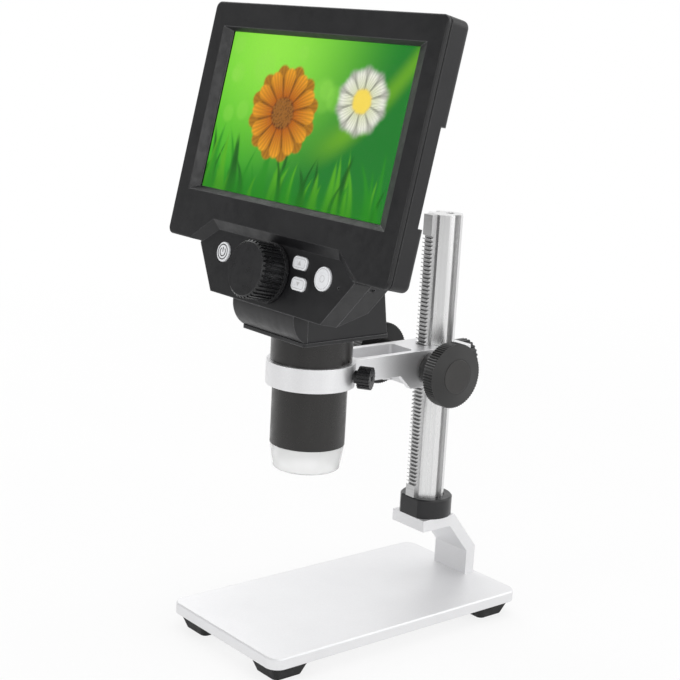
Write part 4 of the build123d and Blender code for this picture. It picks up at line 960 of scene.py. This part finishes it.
def recessed_head():
    """The mesh of a domed head with a cross recess."""
    head, cutter = domed_head(), cross_cutter()
    for item in (head, cutter):
        put_in_scene(item)
    cut = head.modifiers.new("cross", "BOOLEAN")
    cut.operation = "DIFFERENCE"
    cut.object = cutter
    cut.use_self = True
    cut.solver = "EXACT"
    seen = bpy.context.evaluated_depsgraph_get()
    mesh = bpy.data.meshes.new_from_object(head.evaluated_get(seen))
    for item in (head, cutter):
        bpy.data.objects.remove(item)
    return mesh


def counterbore_floor(across, up):
    """How far out, along the display's axis, the floor of a screw's counterbore lies, in mm."""
    depths = set()
    for place in screen_corners("rear_cover"):
        if math.hypot(place[0] - across, place[1] - up) < SCREW_SEAT_SEARCH * SCREW_HEAD_RADIUS:
            depths.add(round(place[2], 2))
    return sorted(depths)[1]


def make_housing_screws(materials):
    low, high = screen_extent("rear_cover")
    head = recessed_head()
    turn = Matrix((SCREEN_RIGHT, -SCREEN_UP, -SCREEN_OUT)).transposed().to_4x4()
    top = high[1] - SCREW_INSET
    for side, across in (("left", low[0] + SCREW_INSET), ("right", high[0] - SCREW_INSET)):
        for level, up in (("upper", top), ("lower", top - SCREW_SPAN)):
            seat = screen_place(across, up, counterbore_floor(across, up))
            mesh = head.copy()
            mesh.transform(Matrix.Translation(seat) @ turn)
            add_piece(f"housing_screw_{side}_{level}", mesh, "head", materials["screw_black"])


# ---------------------------------------------------------------- stage
def floor_material():
    """A pale floor that the camera sees as white, apart from the object's soft shadow."""
    g = Graph("floor")
    g.colour(g.ramp(g.noise(3, 3), (0.86, 0.86, 0.86), (0.90, 0.90, 0.90), start=0.3, end=0.7))
    g.roughness(g.remap(g.noise(8), 0.6, 0.7))
    g.set(Specular_IOR_Level=0.2)
    path = g.new("ShaderNodeLightPath").outputs
    seen = g.maths("MAXIMUM", path["Is Camera Ray"], path["Is Glossy Ray"])
    seen = g.maths("MAXIMUM", seen, path["Is Transmission Ray"])
    far = g.vector_maths("LENGTH", g.place)["Value"]
    share = g.remap(far, FLOOR_NEAR_WHITE, 1.0, FLOOR_NEAR, FLOOR_FAR)
    ahead = g.vector_maths("DOT_PRODUCT", g.place, ROOM_SIDE)["Value"]
    shade = g.remap(ahead, 1.0, FLOOR_SHADE, FLOOR_SHADE_FROM, FLOOR_SHADE_TO)
    not_mirrored = g.maths("SUBTRACT", 1.0, path["Is Glossy Ray"])
    white = g.new("ShaderNodeEmission")
    g.link(g.maths("MAXIMUM", shade, not_mirrored), white, "Strength")
    cover = g.new("ShaderNodeMixShader")
    g.link(g.maths("MULTIPLY", seen, share), cover, 0)
    g.link(g.shader.outputs[0], cover, 1)
    g.link(white.outputs[0], cover, 2)
    g.link(cover.outputs[0], g.tree.nodes["Material Output"], "Surface")
    return g.material


def make_floor():
    """Rings of faces round the origin."""
    rings = (FLOOR_NEAR, FLOOR_FAR, FLOOR_REACH)
    turns = [2 * math.pi * k / FLOOR_STEPS for k in range(FLOOR_STEPS)]
    points = [(0, 0, 0)]
    for ring in rings:
        points += [(ring * math.cos(turn), ring * math.sin(turn), 0) for turn in turns]
    faces = [(0, 1 + k, 1 + (k + 1) % FLOOR_STEPS) for k in range(FLOOR_STEPS)]
    for i in range(len(rings) - 1):
        inner, outer = 1 + i * FLOOR_STEPS, 1 + (i + 1) * FLOOR_STEPS
        for k in range(FLOOR_STEPS):
            after = (k + 1) % FLOOR_STEPS
            faces.append((inner + k, outer + k, outer + after, inner + after))
    mesh = bpy.data.meshes.new("floor")
    mesh.from_pydata(points, [], faces)
    mesh.materials.append(floor_material())
    floor = bpy.data.objects.new("floor", mesh)
    put_in_scene(floor)


def make_world():
    """Soft light for the object, in front of plain white; mirrored, the room in front is darker."""
    world = bpy.data.worlds.new("world")
    bpy.context.scene.world = world
    world.use_nodes = True
    tree = world.node_tree
    tree.nodes.clear()

    def node(kind, sources=(), **settings):
        made = tree.nodes.new(kind)
        for key, value in settings.items():
            setattr(made, key, value)
        for socket, source in sources:
            if isinstance(source, bpy.types.NodeSocket):
                tree.links.new(source, made.inputs[socket])
            else:
                made.inputs[socket].default_value = source
        return made.outputs

    def background(strength):
        return node("ShaderNodeBackground", (("Color", (1, 1, 1, 1)), ("Strength", strength)))[0]

    def either(factor, first, second):
        return node("ShaderNodeMixShader", ((0, factor), (1, first), (2, second)))[0]

    path = node("ShaderNodeLightPath")
    seen = node(
        "ShaderNodeMath",
        ((0, path["Is Camera Ray"]), (1, path["Is Transmission Ray"])),
        operation="MAXIMUM",
    )
    ahead = node(
        "ShaderNodeVectorMath",
        ((0, node("ShaderNodeTexCoord")["Generated"]), (1, ROOM_SIDE)),
        operation="DOT_PRODUCT",
    )
    shade = node(
        "ShaderNodeMapRange",
        (
            ("Value", ahead["Value"]),
            ("From Min", ROOM_SHADE_FROM),
            ("From Max", ROOM_SHADE_TO),
            ("To Min", 1.0),
            ("To Max", ROOM_SHADE),
        ),
    )
    unseen = either(path["Is Glossy Ray"], background(WORLD_LIGHT), background(shade["Result"]))
    node("ShaderNodeOutputWorld", ((0, either(seen[0], unseen, background(1.0))),))


def add_lamp(name, place, target, size, power):
    data = bpy.data.lights.new(name, "AREA")
    data.shape = "DISK"
    data.size = size
    data.energy = power
    lamp = bpy.data.objects.new(name, data)
    lamp.location = place
    lamp.rotation_mode = "QUATERNION"
    lamp.rotation_quaternion = (Vector(target) - Vector(place)).to_track_quat("-Z", "Y")
    put_in_scene(lamp)


make_camera()
materials = make_materials()
dress_nodes(materials)
make_picture(materials)
make_signs(materials)
make_housing_screws(materials)
make_floor()
make_world()
for name, lamp in LAMPS.items():
    add_lamp(name, **lamp)

scene = bpy.context.scene
scene.view_settings.view_transform = "Standard"
